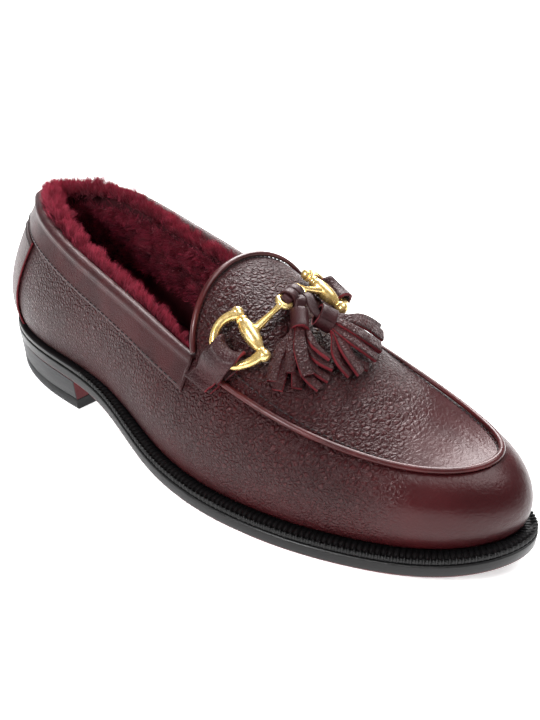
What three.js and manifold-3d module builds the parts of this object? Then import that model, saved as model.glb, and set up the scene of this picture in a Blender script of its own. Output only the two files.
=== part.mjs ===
// A tassel loafer for the right foot, as separate pieces at real size, in millimetres.
// x runs from the back of the heel to the toe, z is up, and the outer side of the foot is at -y.
// The upper is one hollow shell lofted from the rim of the sole to the collar and the apron seam.
import * as THREE from "three";
import Module from "manifold-3d";

const wasm = await Module();
wasm.setup();

// Overall sizes
const SOLE_LENGTH = 300;
const BALL_WIDTH = 105;
const HEEL_HEIGHT = 17.5;
const TOE_SPRING = 10;
const COLLAR_RISE = 60;
const INSTEP_CROWN = 27;
const CLEARANCE = 0.3;

// Sole and heel
const OUTSOLE_THICKNESS = 5.4;
const WELT_THICKNESS = 2.6;
const WELT_REACH = 5.8;
const SEAT_REACH = 3.4;
const EDGE_BEVEL = 0.8;
const RIB_PITCH = 2.2;
const RIB_DEPTH = 1.1;
const RIBS_START = 92;
const SEAT_END = 0.28;
const WELT_START = 0.5;
const WELT_LEDGE = 0.6;
const HEEL_LENGTH = 90;
const HEEL_TAPER = 1;
const LIFT_THICKNESS = 5.5;
const INSOLE_THICKNESS = 4.4;

// Upper
const WALL = 2.2;
const COLLAR_START = 15.5;
const APRON_TIP = 281.5;
const TONGUE_REACH = 10.5;
const TONGUE_ROUND = 0.45;
const BAND_WIDTH = 13;
const BAND_THICKNESS = 1.2;
const COUNTER_THICKNESS = 1.2;
const COUNTER_COLUMNS = 8;
const COUNTER_HEM = 0.1;
const PIPING_WIDTH = 2.8;
const PIPING_HEIGHT = 2;
const FUR_DEPTH = 5.5;
const FUR_RISE = 5;
const LOCK_LENGTH = 3;

// Bit, straps and tassels
const BIT_PLACE = 191;
const LINK_OFFSET = 1;
const LINK_TILT = 10;
const RING_RADIUS = 9.1;
const RING_WIRE = 3;
const RING_TAPER = 0.75;
const BARREL_OFFSET = 4;
const BARREL_DIAMETER = 5.6;
const BARREL_LIFT = 3.9;
const HALF_BAR_ROOT = 3.4;
const HALF_BAR_END = 2.2;
const EYE_DIAMETER = 7;
const EYE_WIRE = 1.6;
const EYE_SPACING = 13;
const STRAP_WIDTH = 11.2;
const STRAP_THICKNESS = 1.2;
const STRAP_END = 6.5;
const STRAP_SETBACK = 0.7;
const STRAP_SLANT = 9;
const LINK_WIDTH = 3.2;
const LINK_THICKNESS = 1;
const THONG_WIDTH = 2.2;
const THONG_THICKNESS = 0.9;
const THONG_SPACING = 2.9;
const CAP_LIFT = 6.2;
const STRIPS = 8;
const STRIP_WIDTH = 3.2;
const STRIP_THICKNESS = 1.3;
const STRIP_LIFT = 2.2;

// Each side of the bit: its ring's middle ahead of the bit's place and out from the middle of the
// instep, in shares of the half girth there, and its barrel's lean in degrees
const BITS = [
  { side: "outer", ahead: -0.7, out: 0.626, lean: 26 },
  { side: "inner", ahead: -0.8, out: 0.5, lean: 22 },
];

// Each tassel: the diameter of its cap and the places of the cap's two ends in the same way, then the
// length of its strips, their heading out from the toe's direction and how far they fan, in degrees
const TASSELS = [
  { side: "outer", cap: 6.6, topAhead: 8, topOut: 0.14, endAhead: 13, endOut: 0.29, length: 20.5, heading: 57, spread: 34 },
  { side: "inner", cap: 7.8, topAhead: 8.5, topOut: 0.11, endAhead: 16, endOut: 0.16, length: 22, heading: 34, spread: 45 },
];

// Columns round the shoe: the outer side runs from the heel to the toe, and the inner side runs back
const COLUMNS = 32;
const JUNCTION = 18;
const WALL_ROWS = 6;
const APRON_PARTS = 8;

// Outline of the sole: half width and sideways shift are shares of the ball width
const OUTLINE = [
  { at: 0.04, half: 0.228, shift: 0.01 },
  { at: 0.12, half: 0.328, shift: -0.02 },
  { at: 0.24, half: 0.35, shift: -0.065 },
  { at: 0.38, half: 0.338, shift: -0.096 },
  { at: 0.52, half: 0.428, shift: -0.092 },
  { at: 0.64, half: 0.498, shift: -0.04 },
  { at: 0.74, half: 0.496, shift: 0 },
  { at: 0.85, half: 0.41, shift: 0.02 },
  { at: 0.94, half: 0.249, shift: -0.008 },
];

// Height of the sole's underside: shares of the heel height and of the toe spring
const PROFILE = [
  { at: 0, heel: 1, toe: 0 },
  { at: 0.12, heel: 0.93, toe: 0 },
  { at: 0.24, heel: 0.95, toe: 0 },
  { at: 0.36, heel: 0.75, toe: 0 },
  { at: 0.5, heel: 0.22, toe: 0 },
  { at: 0.6, heel: 0.03, toe: 0 },
  { at: 0.76, heel: 0, toe: 0 },
  { at: 0.88, heel: 0, toe: 0.14 },
  { at: 1, heel: 0, toe: 1 },
];

// Top line of the wall, which is the collar at the back and the apron seam in front:
// half width and shift are shares of the ball width, and rise is a share of the collar rise
const TOPLINE = [
  { at: 0, half: 0, shift: 0.03, rise: 0.985 },
  { at: 0.06, half: 0.158, shift: 0.045, rise: 1.02 },
  { at: 0.18, half: 0.272, shift: 0, rise: 0.98 },
  { at: 0.32, half: 0.316, shift: -0.02, rise: 0.87 },
  { at: 0.46, half: 0.33, shift: -0.04, rise: 0.865 },
  { at: 0.6, half: 0.34, shift: -0.053, rise: 0.79 },
  { at: 0.74, half: 0.335, shift: -0.056, rise: 0.66 },
  { at: 0.88, half: 0.264, shift: -0.02, rise: 0.52 },
  { at: 1, half: 0, shift: -0.007, rise: 0.465 },
];

// Fullness of the wall: how far each end of its curve leans out, as shares of the ball width,
// and how far it runs up or down, as shares of the wall's own height
const FULLNESS = [
  { at: 0, low: 0.075, up: 0.35, high: 0.085, down: 0.3 },
  { at: 0.15, low: 0.075, up: 0.35, high: 0.08, down: 0.3 },
  { at: 0.35, low: 0.07, up: 0.4, high: 0.06, down: 0.3 },
  { at: 0.6, low: 0.07, up: 0.45, high: 0.08, down: 0.2 },
  { at: 0.8, low: 0.07, up: 0.5, high: 0.1, down: 0.12 },
  { at: 1, low: 0.06, up: 0.55, high: 0.08, down: 0.08 },
];

// Crown of the apron over its seam, from the tongue's end to the tip, as shares of the instep crown;
// flat 1 is a parabola across, and less is rounder towards an ellipse
const CROWN = [
  { at: 0, rise: 0.99, flat: 0.5 },
  { at: 0.15, rise: 0.93, flat: 0.55 },
  { at: 0.4, rise: 0.55, flat: 0.75 },
  { at: 0.7, rise: 0.2, flat: 1 },
  { at: 1, rise: 0.0, flat: 1 },
];

// Cubic spline through knots, with free or flat ends.
function spline(knots, values, flatEnds) {
  const count = knots.length;
  const gap = knots.slice(1).map((k, i) => k - knots[i]);
  const slope = gap.map((g, i) => (values[i + 1] - values[i]) / g);
  const diagonal = new Array(count).fill(1);
  const upper = new Array(count).fill(0);
  const right = new Array(count).fill(0);
  if (flatEnds) {
    diagonal[0] = 2 * gap[0];
    upper[0] = gap[0];
    right[0] = 6 * slope[0];
  }
  for (let i = 1; i < count; i++) {
    const last = i === count - 1;
    const lower = last && !flatEnds ? 0 : gap[i - 1];
    const middle = last ? (flatEnds ? 2 * gap[i - 1] : 1) : 2 * (gap[i - 1] + gap[i]);
    const target = last ? (flatEnds ? -6 * slope[i - 1] : 0) : 6 * (slope[i] - slope[i - 1]);
    const factor = lower / diagonal[i - 1];
    diagonal[i] = middle - factor * upper[i - 1];
    upper[i] = last ? 0 : gap[i];
    right[i] = target - factor * right[i - 1];
  }
  const bend = new Array(count).fill(0);
  for (let i = count - 1; i >= 0; i--) {
    bend[i] = (right[i] - (upper[i] ? upper[i] * bend[i + 1] : 0)) / diagonal[i];
  }
  return (knot) => {
    let i = 0;
    while (i < count - 2 && knot > knots[i + 1]) i++;
    const t = knot - knots[i];
    const curve = (bend[i + 1] - bend[i]) / (6 * gap[i]);
    const tilt = slope[i] - (gap[i] * (2 * bend[i] + bend[i + 1])) / 6;
    return values[i] + t * (tilt + t * (bend[i] / 2 + t * curve));
  };
}

// A share of a length as a turn from 0 to 1 round a half circle, and back: round ends stay round.
const turnOf = (share) => Math.acos(1 - 2 * Math.min(1, Math.max(0, share))) / Math.PI;
const shareOf = (turn) => (1 - Math.cos(Math.PI * turn)) / 2;

// A table's column as a function of the turn; rounded ones close to nothing at both ends.
function column(table, name, size) {
  return spline(table.map((r) => turnOf(r.at)), table.map((r) => r[name] * size), true);
}
function roundedColumn(table, name, size) {
  const rows = table.filter((r) => r.at > 0 && r.at < 1);
  const knots = [0, ...rows.map((r) => turnOf(r.at)), 1];
  return spline(knots, [0, ...rows.map((r) => r[name] * size), 0], false);
}
const withEnds = (table) => [{ ...table[0], at: 0 }, ...table, { ...table[table.length - 1], at: 1 }];

const soleHalf = roundedColumn(OUTLINE, "half", BALL_WIDTH);
const soleShift = column(withEnds(OUTLINE), "shift", BALL_WIDTH);
const heelLift = column(PROFILE, "heel", HEEL_HEIGHT);
const toeLift = column(PROFILE, "toe", TOE_SPRING);

// Height of the sole's underside, straight from station to station so that stacked pieces stay parallel.
const STATIONS = Array.from({ length: COLUMNS + 1 }, (_, k) => {
  const turn = k / COLUMNS;
  return { x: SOLE_LENGTH * shareOf(turn), z: Math.max(0, heelLift(turn)) + Math.max(0, toeLift(turn)) };
});
function underside(x) {
  let k = 0;
  while (k < COLUMNS - 1 && x > STATIONS[k + 1].x) k++;
  const [a, b] = [STATIONS[k], STATIONS[k + 1]];
  return THREE.MathUtils.lerp(a.z, b.z, (x - a.x) / (b.x - a.x));
}
const outsoleTop = (x) => underside(x) + OUTSOLE_THICKNESS;
const weltTop = (x) => outsoleTop(x) + CLEARANCE + WELT_THICKNESS;

// The sole's outline in plan; side is -1 on the outer side and 1 on the inner side.
function outline(turn, side) {
  return new THREE.Vector2(SOLE_LENGTH * shareOf(turn), soleShift(turn) + side * soleHalf(turn));
}
// The level direction that points in from the outline, square to it.
const TURN_STEP = 0.002;
function inward(turn, side) {
  if (turn < TURN_STEP) return new THREE.Vector2(1, 0);
  if (turn > 1 - TURN_STEP) return new THREE.Vector2(-1, 0);
  const along = outline(turn + TURN_STEP, side).sub(outline(turn - TURN_STEP, side)).normalize();
  return new THREE.Vector2(side * along.y, -side * along.x);
}
// The outline taken in by a distance.
function insetOutline(turn, side, distance) {
  return outline(turn, side).add(inward(turn, side).multiplyScalar(distance));
}
// How far the welt shows past the upper: less round the heel seat than in front.
function reach(turn) {
  const blend = THREE.MathUtils.smoothstep(shareOf(turn), SEAT_END, WELT_START);
  return THREE.MathUtils.lerp(SEAT_REACH, WELT_REACH, blend);
}

const topHalf = roundedColumn(TOPLINE, "half", BALL_WIDTH);
const topShift = column(TOPLINE, "shift", BALL_WIDTH);
const topRise = column(TOPLINE, "rise", COLLAR_RISE);
const lowLean = column(FULLNESS, "low", BALL_WIDTH);
const lowRun = column(FULLNESS, "up", 1);
const highLean = column(FULLNESS, "high", BALL_WIDTH);
const highRun = column(FULLNESS, "down", 1);
const crown = column(CROWN, "rise", INSTEP_CROWN);
const crownFlat = column(CROWN, "flat", 1);

// The top line of the wall.
function topPoint(turn, side) {
  const x = THREE.MathUtils.lerp(COLLAR_START, APRON_TIP, shareOf(turn));
  return new THREE.Vector3(x, topShift(turn) + side * topHalf(turn), weltTop(x) + topRise(turn));
}
// The wall's curve at one column, from the rim on the welt up to the top line.
function wallCurve(turn, side) {
  const plan = insetOutline(turn, side, reach(turn));
  const foot = new THREE.Vector3(plan.x, plan.y, weltTop(plan.x) + CLEARANCE);
  const top = topPoint(turn, side);
  const tall = top.z - foot.z;
  const outward = inward(turn, side).negate();
  const pull = (from, lean, run) => new THREE.Vector3(outward.x * lean, outward.y * lean, run * tall).add(from);
  const low = pull(foot, lowLean(turn), lowRun(turn));
  const high = pull(top, highLean(turn), -highRun(turn));
  return new THREE.CubicBezierCurve3(foot, low, high, top);
}
// Points up one column: even rows to the lower edge of the collar band, then the top line.
function wallColumn(turn, side) {
  const curve = wallCurve(turn, side);
  const bandEdge = 1 - BAND_WIDTH / curve.getLength();
  const rows = Array.from({ length: WALL_ROWS }, (_, i) => (bandEdge * i) / (WALL_ROWS - 1));
  return [...rows, 1].map((share) => curve.getPointAt(share));
}

// The apron's height in front of the junction, and the tongue's behind it.
const JUNCTION_TURN = JUNCTION / COLUMNS;
const junctionPoint = topPoint(JUNCTION_TURN, -1);
const tongueEnd = junctionPoint.x - TONGUE_REACH;
const apronShare = (x) => (x - COLLAR_START) / (APRON_TIP - COLLAR_START);
function apronHeight(x, y) {
  const turn = turnOf(apronShare(Math.max(x, junctionPoint.x)));
  const across = Math.min(1, Math.abs(y - topShift(turn)) / Math.max(topHalf(turn), CLEARANCE));
  const ahead = topPoint(JUNCTION_TURN + 1 / COLUMNS, -1);
  const fall = (junctionPoint.z - ahead.z) / (ahead.x - junctionPoint.x);
  const seam = topPoint(turn, -1).z + fall * Math.max(0, junctionPoint.x - x);
  const along = turnOf((x - tongueEnd) / (APRON_TIP - tongueEnd));
  return seam + crown(along) * (1 - across ** 2) ** crownFlat(along);
}
// A row across the apron: bow 0 is the rung at the junction and bow 1 the tongue's free edge.
function apronPoint(turn, across, bow) {
  const back = bow * TONGUE_REACH * (1 - across ** 2) ** TONGUE_ROUND;
  const x = THREE.MathUtils.lerp(COLLAR_START, APRON_TIP, shareOf(turn)) - back;
  const y = topShift(turn) + across * topHalf(turn);
  return new THREE.Vector3(x, y, apronHeight(x, y));
}

// A surface gathered from rings and strips of points.
class Surface {
  constructor() {
    this.points = [];
    this.faces = [];
  }
  add(point) {
    this.points.push(point);
    return this.points.length - 1;
  }
  ring(points) {
    return points.map((p) => this.add(p));
  }
  triangle(a, b, c) {
    if (a !== b && b !== c && c !== a) this.faces.push([a, b, c]);
  }
  quad(a, b, c, d) {
    this.triangle(a, b, c);
    this.triangle(a, c, d);
  }
  strip(first, second, closed = true) {
    const count = first.length;
    for (let i = 0; i < (closed ? count : count - 1); i++) {
      const j = (i + 1) % count;
      this.quad(first[i], first[j], second[j], second[i]);
    }
  }
  // Joins two closed rings of any counts; laps say how far round each point lies, from 0 to 2.
  bridge(first, firstLaps, second, secondLaps) {
    let i = 0;
    let j = 0;
    while (i < first.length || j < second.length) {
      const nextFirst = i < first.length ? firstLaps[i + 1] ?? 2 : Infinity;
      const nextSecond = j < second.length ? secondLaps[j + 1] ?? 2 : Infinity;
      const a = first[i % first.length];
      const b = second[j % second.length];
      if (nextFirst <= nextSecond) {
        this.triangle(a, first[++i % first.length], b);
      } else {
        this.triangle(a, second[++j % second.length], b);
      }
    }
  }
  // Closes a ring whose second half lies across from its first, with rungs from side to side.
  ladder(ring, flip) {
    const count = ring.length;
    for (let i = 0; i < count / 2; i++) {
      const rung = [ring[i], ring[i + 1], ring[count - i - 1], ring[(count - i) % count]];
      if (flip) rung.reverse();
      this.quad(...rung);
    }
  }
  fan(ring, flip) {
    for (let i = 1; i < ring.length - 1; i++) {
      this.triangle(ring[0], ring[flip ? i + 1 : i], ring[flip ? i : i + 1]);
    }
  }
  // Outward directions at the points, long enough to keep a wall's thickness over a crease.
  normals() {
    const sums = this.points.map(() => new THREE.Vector3());
    const weights = this.points.map(() => 0);
    for (const face of this.faces) {
      const [a, b, c] = face.map((i) => this.points[i]);
      const cross = b.clone().sub(a).cross(c.clone().sub(a));
      for (const i of face) {
        sums[i].add(cross);
        weights[i] += cross.length();
      }
    }
    return sums.map((sum, i) => sum.multiplyScalar(weights[i] / Math.max(sum.lengthSq(), Number.EPSILON)));
  }
  // Gives an open sheet a wall that lies between two distances inside its face, and closes its edges.
  thickened(outer, inner) {
    const normals = this.normals();
    const count = this.points.length;
    const solid = new Surface();
    for (const distance of [outer, inner]) {
      this.points.forEach((p, i) => solid.add(p.clone().addScaledVector(normals[i], -distance)));
    }
    const open = new Map();
    for (const [a, b, c] of this.faces) {
      solid.triangle(a, b, c);
      solid.triangle(a + count, c + count, b + count);
      for (const [from, to] of [[a, b], [b, c], [c, a]]) {
        if (!open.delete(`${to} ${from}`)) open.set(`${from} ${to}`, [from, to]);
      }
    }
    for (const [from, to] of open.values()) solid.quad(to, from, from + count, to + count);
    return solid;
  }
  geometry() {
    const geometry = new THREE.BufferGeometry();
    const positions = this.points.flatMap((p) => p.toArray());
    geometry.setAttribute("position", new THREE.Float32BufferAttribute(positions, 3));
    let volume = 0;
    for (const [a, b, c] of this.faces) {
      volume += this.points[a].dot(this.points[b].clone().cross(this.points[c]));
    }
    const outwards = volume > 0 ? this.faces : this.faces.map(([a, b, c]) => [a, c, b]);
    geometry.setIndex(outwards.flat());
    geometry.computeVertexNormals();
    return geometry;
  }
}

// Columns round the shoe, each with its turn, its side and how far round it lies.
const COLUMN_LIST = Array.from({ length: 2 * COLUMNS }, (_, k) => {
  const lap = k / COLUMNS;
  return k <= COLUMNS ? { turn: lap, side: -1, lap } : { turn: 2 - lap, side: 1, lap };
});
const columnLaps = COLUMN_LIST.map((c) => c.lap);

const shoe = new THREE.Group();
function place(name, surface, look) {
  const geometry = surface.isBufferGeometry ? surface : surface.geometry();
  const mesh = new THREE.Mesh(geometry, new THREE.MeshStandardMaterial(look));
  mesh.name = name;
  shoe.add(mesh);
}
const BLACK_EDGE = { color: 0x1b1b1c, roughness: 0.45, metalness: 0 };
const BURGUNDY = { color: 0x4a2226, roughness: 0.5, metalness: 0 };
const PIPING_RED = { color: 0x5a2a2c, roughness: 0.4, metalness: 0 };
const INSOLE_RED = { color: 0x4a1a20, roughness: 0.6, metalness: 0 };
const FUR_RED = { color: 0x6e1a2c, roughness: 0.95, metalness: 0 };
const GOLD = { color: 0xe0b050, roughness: 0.2, metalness: 1 };

// Outsole: full length, with a bevelled lower edge.
function soleRing(body, inset, height) {
  return body.ring(COLUMN_LIST.map(({ turn, side }) => {
    const plan = insetOutline(turn, side, inset instanceof Function ? inset(turn) : inset);
    return new THREE.Vector3(plan.x, plan.y, height(plan.x));
  }));
}
function makeOutsole() {
  const body = new Surface();
  const sole = soleRing(body, EDGE_BEVEL, underside);
  const edge = soleRing(body, 0, (x) => underside(x) + EDGE_BEVEL);
  const top = soleRing(body, 0, outsoleTop);
  body.strip(sole, edge);
  body.strip(edge, top);
  body.ladder(sole, true);
  body.ladder(top, false);
  return body;
}
place("outsole", makeOutsole(), BLACK_EDGE);

// Welt: a strip round the whole sole, with ribs milled across its edge in front of the heel.
const OUTLINE_SAMPLES = 400;
function ribPlaces() {
  const samples = [];
  for (let i = 0; i <= 2 * OUTLINE_SAMPLES; i++) {
    const lap = i / OUTLINE_SAMPLES;
    const turn = lap <= 1 ? lap : 2 - lap;
    const side = lap <= 1 ? -1 : 1;
    const plan = outline(turn, side);
    const last = samples[samples.length - 1];
    samples.push({ lap, turn, side, plan, run: last ? last.run + plan.distanceTo(last.plan) : 0 });
  }
  const front = samples.filter((s) => s.plan.x >= RIBS_START);
  const start = front[0].run;
  const length = front[front.length - 1].run - start;
  const steps = 2 * Math.round(length / RIB_PITCH);
  const places = [];
  let at = 0;
  for (let i = 0; i <= steps; i++) {
    const run = (length * i) / steps;
    while (at < front.length - 2 && front[at + 1].run - start < run) at++;
    const [a, b] = [front[at], front[at + 1]];
    const lap = THREE.MathUtils.lerp(a.lap, b.lap, (run + start - a.run) / (b.run - a.run));
    const turn = lap <= 1 ? lap : 2 - lap;
    places.push({ lap, turn, side: lap <= 1 ? -1 : 1, inset: i % 2 ? RIB_DEPTH : 0 });
  }
  return places;
}
function makeWelt() {
  const body = new Surface();
  const ribs = ribPlaces();
  const [first, last] = [ribs[0].lap, ribs[ribs.length - 1].lap];
  const plain = COLUMN_LIST.map((c) => ({ ...c, inset: 0 }));
  const gap = ribs[1].lap - first;
  const edge = [
    ...plain.filter((c) => c.lap < first - gap),
    ...ribs,
    ...plain.filter((c) => c.lap > last + gap),
  ];
  const edgeLaps = edge.map((c) => c.lap);
  const edgeRing = (height) => body.ring(edge.map(({ turn, side, inset }) => {
    const plan = insetOutline(turn, side, inset);
    return new THREE.Vector3(plan.x, plan.y, height(plan.x));
  }));
  const below = (x) => outsoleTop(x) + CLEARANCE;
  const ledge = (turn) => reach(turn) + WALL + WELT_LEDGE;
  const rings = [edgeRing(below), edgeRing(weltTop), soleRing(body, ledge, weltTop), soleRing(body, ledge, below)];
  body.strip(rings[0], rings[1]);
  body.bridge(rings[1], edgeLaps, rings[2], columnLaps);
  body.strip(rings[2], rings[3]);
  body.bridge(rings[3], columnLaps, rings[0], edgeLaps);
  return body;
}
place("welt", makeWelt(), BLACK_EDGE);

// Insole: fills the welt's inside and rests on the outsole.
function makeInsole() {
  const body = new Surface();
  const edge = (turn) => reach(turn) + WALL + WELT_LEDGE + CLEARANCE;
  const bottom = soleRing(body, edge, (x) => outsoleTop(x) + CLEARANCE);
  const top = soleRing(body, edge, (x) => outsoleTop(x) + CLEARANCE + INSOLE_THICKNESS);
  body.strip(bottom, top);
  body.ladder(bottom, true);
  body.ladder(top, false);
  return body;
}
place("insole", makeInsole(), INSOLE_RED);

// Upper: the outer face of wall, apron and tongue as one sheet.
const upperSheet = new Surface();
const wallGrid = COLUMN_LIST.map(({ turn, side }) => upperSheet.ring(wallColumn(turn, side)));
const apronRows = [];
const acrossOf = (m) => Math.sin((Math.PI * (2 * m - APRON_PARTS)) / (2 * APRON_PARTS));
function apronRow(k, bow) {
  const inner = Array.from({ length: APRON_PARTS - 1 }, (_, m) => apronPoint(k / COLUMNS, acrossOf(m + 1), bow));
  return [wallGrid[k][WALL_ROWS], ...upperSheet.ring(inner), wallGrid[2 * COLUMNS - k][WALL_ROWS]];
}
apronRows.push(apronRow(JUNCTION, 1), apronRow(JUNCTION, 0.5));
for (let k = JUNCTION; k < COLUMNS; k++) apronRows.push(apronRow(k, 0));
apronRows.push(new Array(APRON_PARTS + 1).fill(wallGrid[COLUMNS][WALL_ROWS]));
wallGrid.forEach((column, k) => upperSheet.strip(wallGrid[(k + 1) % wallGrid.length], column, false));
for (let i = 1; i < apronRows.length; i++) upperSheet.strip(apronRows[i], apronRows[i - 1], false);
place("upper", upperSheet.thickened(0, WALL), BURGUNDY);

// Points of the upper's sheet, moved out along its own normals.
const upperNormals = upperSheet.normals();
const liftedPoint = (index, lift) => upperSheet.points[index].clone().addScaledVector(upperNormals[index], lift);
const columnAt = (k) => wallGrid[(k + wallGrid.length) % wallGrid.length];

// A solid lofted through sections of equal counts, with its two ends closed.
function loft(sections) {
  const body = new Surface();
  const rings = sections.map((points) => body.ring(points));
  for (let i = 1; i < rings.length; i++) body.strip(rings[i - 1], rings[i]);
  body.fan(rings[0], true);
  body.fan(rings[rings.length - 1], false);
  return body;
}

// Collar band: a folded strip that covers the top edge, from strap to strap round the heel.
const BAND_END = 0.5;
function bandSection(k, lean = k) {
  const [low, top] = [WALL_ROWS - 1, WALL_ROWS];
  const lifted = (row, lift) => {
    const normal = upperNormals[columnAt(lean)[row]];
    return upperSheet.points[columnAt(k)[row]].clone().addScaledVector(normal, lift);
  };
  const raised = (lift, rise) => lifted(top, lift).add(new THREE.Vector3(0, 0, rise));
  const cover = CLEARANCE + BAND_THICKNESS;
  return [
    lifted(low, CLEARANCE),
    lifted(low, cover),
    raised(cover, 0),
    raised(-WALL / 2, cover + BAND_THICKNESS / 2),
    raised(-WALL, cover),
    raised(-WALL, CLEARANCE),
    raised(CLEARANCE, CLEARANCE),
  ];
}
const mixed = (first, second, share) => first.map((p, i) => p.clone().lerp(second[i], share));
function makeCollarBand() {
  const last = JUNCTION - 1;
  const sections = [];
  for (let k = -last; k <= last; k++) sections.push(bandSection(k));
  sections.unshift(mixed(sections[0], bandSection(-last - 1, -last), BAND_END));
  sections.push(mixed(sections[sections.length - 1], bandSection(last + 1, last), BAND_END));
  return loft(sections);
}
place("collar_band", makeCollarBand(), BURGUNDY);

// Heel counter: an outer piece round the back, from just over the welt to just under the band.
function makeCounter() {
  const sheet = new Surface();
  const columns = [];
  for (let k = -COUNTER_COLUMNS; k <= COUNTER_COLUMNS; k++) {
    const points = columnAt(k).slice(0, WALL_ROWS).map((index) => upperSheet.points[index].clone());
    points[0].lerp(points[1], COUNTER_HEM);
    points[WALL_ROWS - 1].lerp(points[WALL_ROWS - 2], COUNTER_HEM);
    columns.push(sheet.ring(points));
  }
  for (let i = 1; i < columns.length; i++) sheet.strip(columns[i], columns[i - 1], false);
  return sheet.thickened(-CLEARANCE - COUNTER_THICKNESS, -CLEARANCE);
}
place("heel_counter", makeCounter(), BURGUNDY);

// Fur lining: a pad inside the collar, with a pointed lock on every patch of its face.
const FUR_ROWS = [1, 2, 3, 4, WALL_ROWS - 1, WALL_ROWS];
function furSection(k) {
  const column = columnAt(k);
  const back = FUR_ROWS.map((row) => liftedPoint(column[row], -WALL - CLEARANCE));
  const face = FUR_ROWS.map((row) => liftedPoint(column[row], -WALL - CLEARANCE - FUR_DEPTH));
  const top = back[back.length - 1];
  top.z += CLEARANCE;
  face[face.length - 1].z += FUR_RISE;
  const crest = top.clone().lerp(face[face.length - 1], 0.35);
  crest.z += FUR_RISE;
  return [...face, crest, ...back.reverse()];
}
function makeFur() {
  const body = new Surface();
  const last = JUNCTION - 1;
  const rings = [];
  for (let k = -last; k <= last; k++) rings.push(body.ring(furSection(k)));
  const count = rings[0].length;
  for (let r = 1; r < rings.length; r++) {
    for (let i = 0; i < count; i++) {
      const j = (i + 1) % count;
      const corners = [rings[r - 1][i], rings[r - 1][j], rings[r][j], rings[r][i]];
      if (i >= FUR_ROWS.length) {
        body.quad(...corners);
        continue;
      }
      const [a, b, c, d] = corners.map((index) => body.points[index]);
      const outward = b.clone().sub(d).cross(c.clone().sub(a)).normalize();
      const tip = a.clone().add(b).add(c).add(d).multiplyScalar(0.25).addScaledVector(outward, LOCK_LENGTH);
      const lock = body.add(tip);
      corners.forEach((corner, n) => body.triangle(corner, corners[(n + 1) % 4], lock));
    }
  }
  body.fan(rings[0], true);
  body.fan(rings[rings.length - 1], false);
  return body;
}
place("fur_lining", makeFur(), FUR_RED);

// Piping: a half-round cord that stands on the upper's sheet along a list of its points. Its section
// is given as shares of the cord's width and height.
const CORD_SECTION = [
  [-0.3, 0],
  [-0.5, 0.4],
  [-0.3, 0.85],
  [0, 1],
  [0.3, 0.85],
  [0.5, 0.4],
  [0.3, 0],
];
const CORD_START = 0.3;
function makeCord(indices, start) {
  const path = indices.map((index) => liftedPoint(index, CLEARANCE));
  const last = path.length - 1;
  path[0].lerp(path[1], start);
  path[last].lerp(path[last - 1], start);
  return loft(path.map((point, i) => {
    const along = path[Math.min(i + 1, path.length - 1)].clone().sub(path[Math.max(i - 1, 0)]).normalize();
    const up = upperNormals[indices[i]].clone().normalize();
    const across = up.clone().cross(along).normalize();
    return CORD_SECTION.map(([side, rise]) =>
      point.clone().addScaledVector(across, side * PIPING_WIDTH).addScaledVector(up, rise * PIPING_HEIGHT));
  }));
}
const seamPoints = [];
for (let k = JUNCTION + 1; k < 2 * COLUMNS - JUNCTION; k++) seamPoints.push(wallGrid[k][WALL_ROWS]);
place("apron_piping", makeCord(seamPoints, CORD_START), PIPING_RED);
place("tongue_binding", makeCord(apronRows[0].slice(1, -1), 0), PIPING_RED);

// The outer face over the instep. A place on it is x and a girth, which is the length of face up from
// the seam on one side, or down the wall where it is negative; a lift is a height over the face.
const SKIN_SAMPLES = 24;
const SKIN_STEP = 0.5;
function crossCurve(x, side) {
  const turn = turnOf(apronShare(x));
  const points = Array.from({ length: SKIN_SAMPLES + 1 }, (_, i) =>
    apronPoint(turn, side * Math.cos((Math.PI * i) / SKIN_SAMPLES), 0));
  return new THREE.CatmullRomCurve3(points);
}
function skinPoint(x, girth, side) {
  if (girth < 0) {
    const wall = wallCurve(turnOf(apronShare(x)), side);
    return wall.getPointAt(1 + girth / wall.getLength());
  }
  const curve = crossCurve(x, side);
  return curve.getPointAt(Math.min(1, girth / curve.getLength()));
}
function skinNormal(x, girth, side) {
  const along = skinPoint(x + SKIN_STEP, girth, side).sub(skinPoint(x - SKIN_STEP, girth, side));
  const up = skinPoint(x, girth + SKIN_STEP, side).sub(skinPoint(x, girth - SKIN_STEP, side));
  return along.cross(up).multiplyScalar(-side).normalize();
}
function raised(x, girth, side, lift) {
  return skinPoint(x, girth, side).addScaledVector(skinNormal(x, girth, side), lift);
}

// A bar through points, with a half width across and a half height along up at each of them.
const ROUND = Array.from({ length: 8 }, (_, i) => (Math.PI * (2 * i + 1)) / 8)
  .map((angle) => [Math.cos(angle), Math.sin(angle)]);
const FLAT = [[-1, -1], [1, -1], [1, 1], [-1, 1]];
function bar(path, ups, sizes, section, closed = false) {
  const count = path.length;
  const near = (i) => (closed ? (i + count) % count : THREE.MathUtils.clamp(i, 0, count - 1));
  const sections = path.map((point, i) => {
    const along = path[near(i + 1)].clone().sub(path[near(i - 1)]).normalize();
    const across = ups[i].clone().cross(along).normalize();
    const up = along.cross(across);
    const [wide, tall] = sizes[i];
    return section.map(([u, v]) =>
      point.clone().addScaledVector(across, u * wide).addScaledVector(up, v * tall));
  });
  if (!closed) return loft(sections);
  const body = new Surface();
  const rings = sections.map((points) => body.ring(points));
  rings.forEach((ring, i) => body.strip(ring, rings[(i + 1) % count]));
  return body;
}
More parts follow.
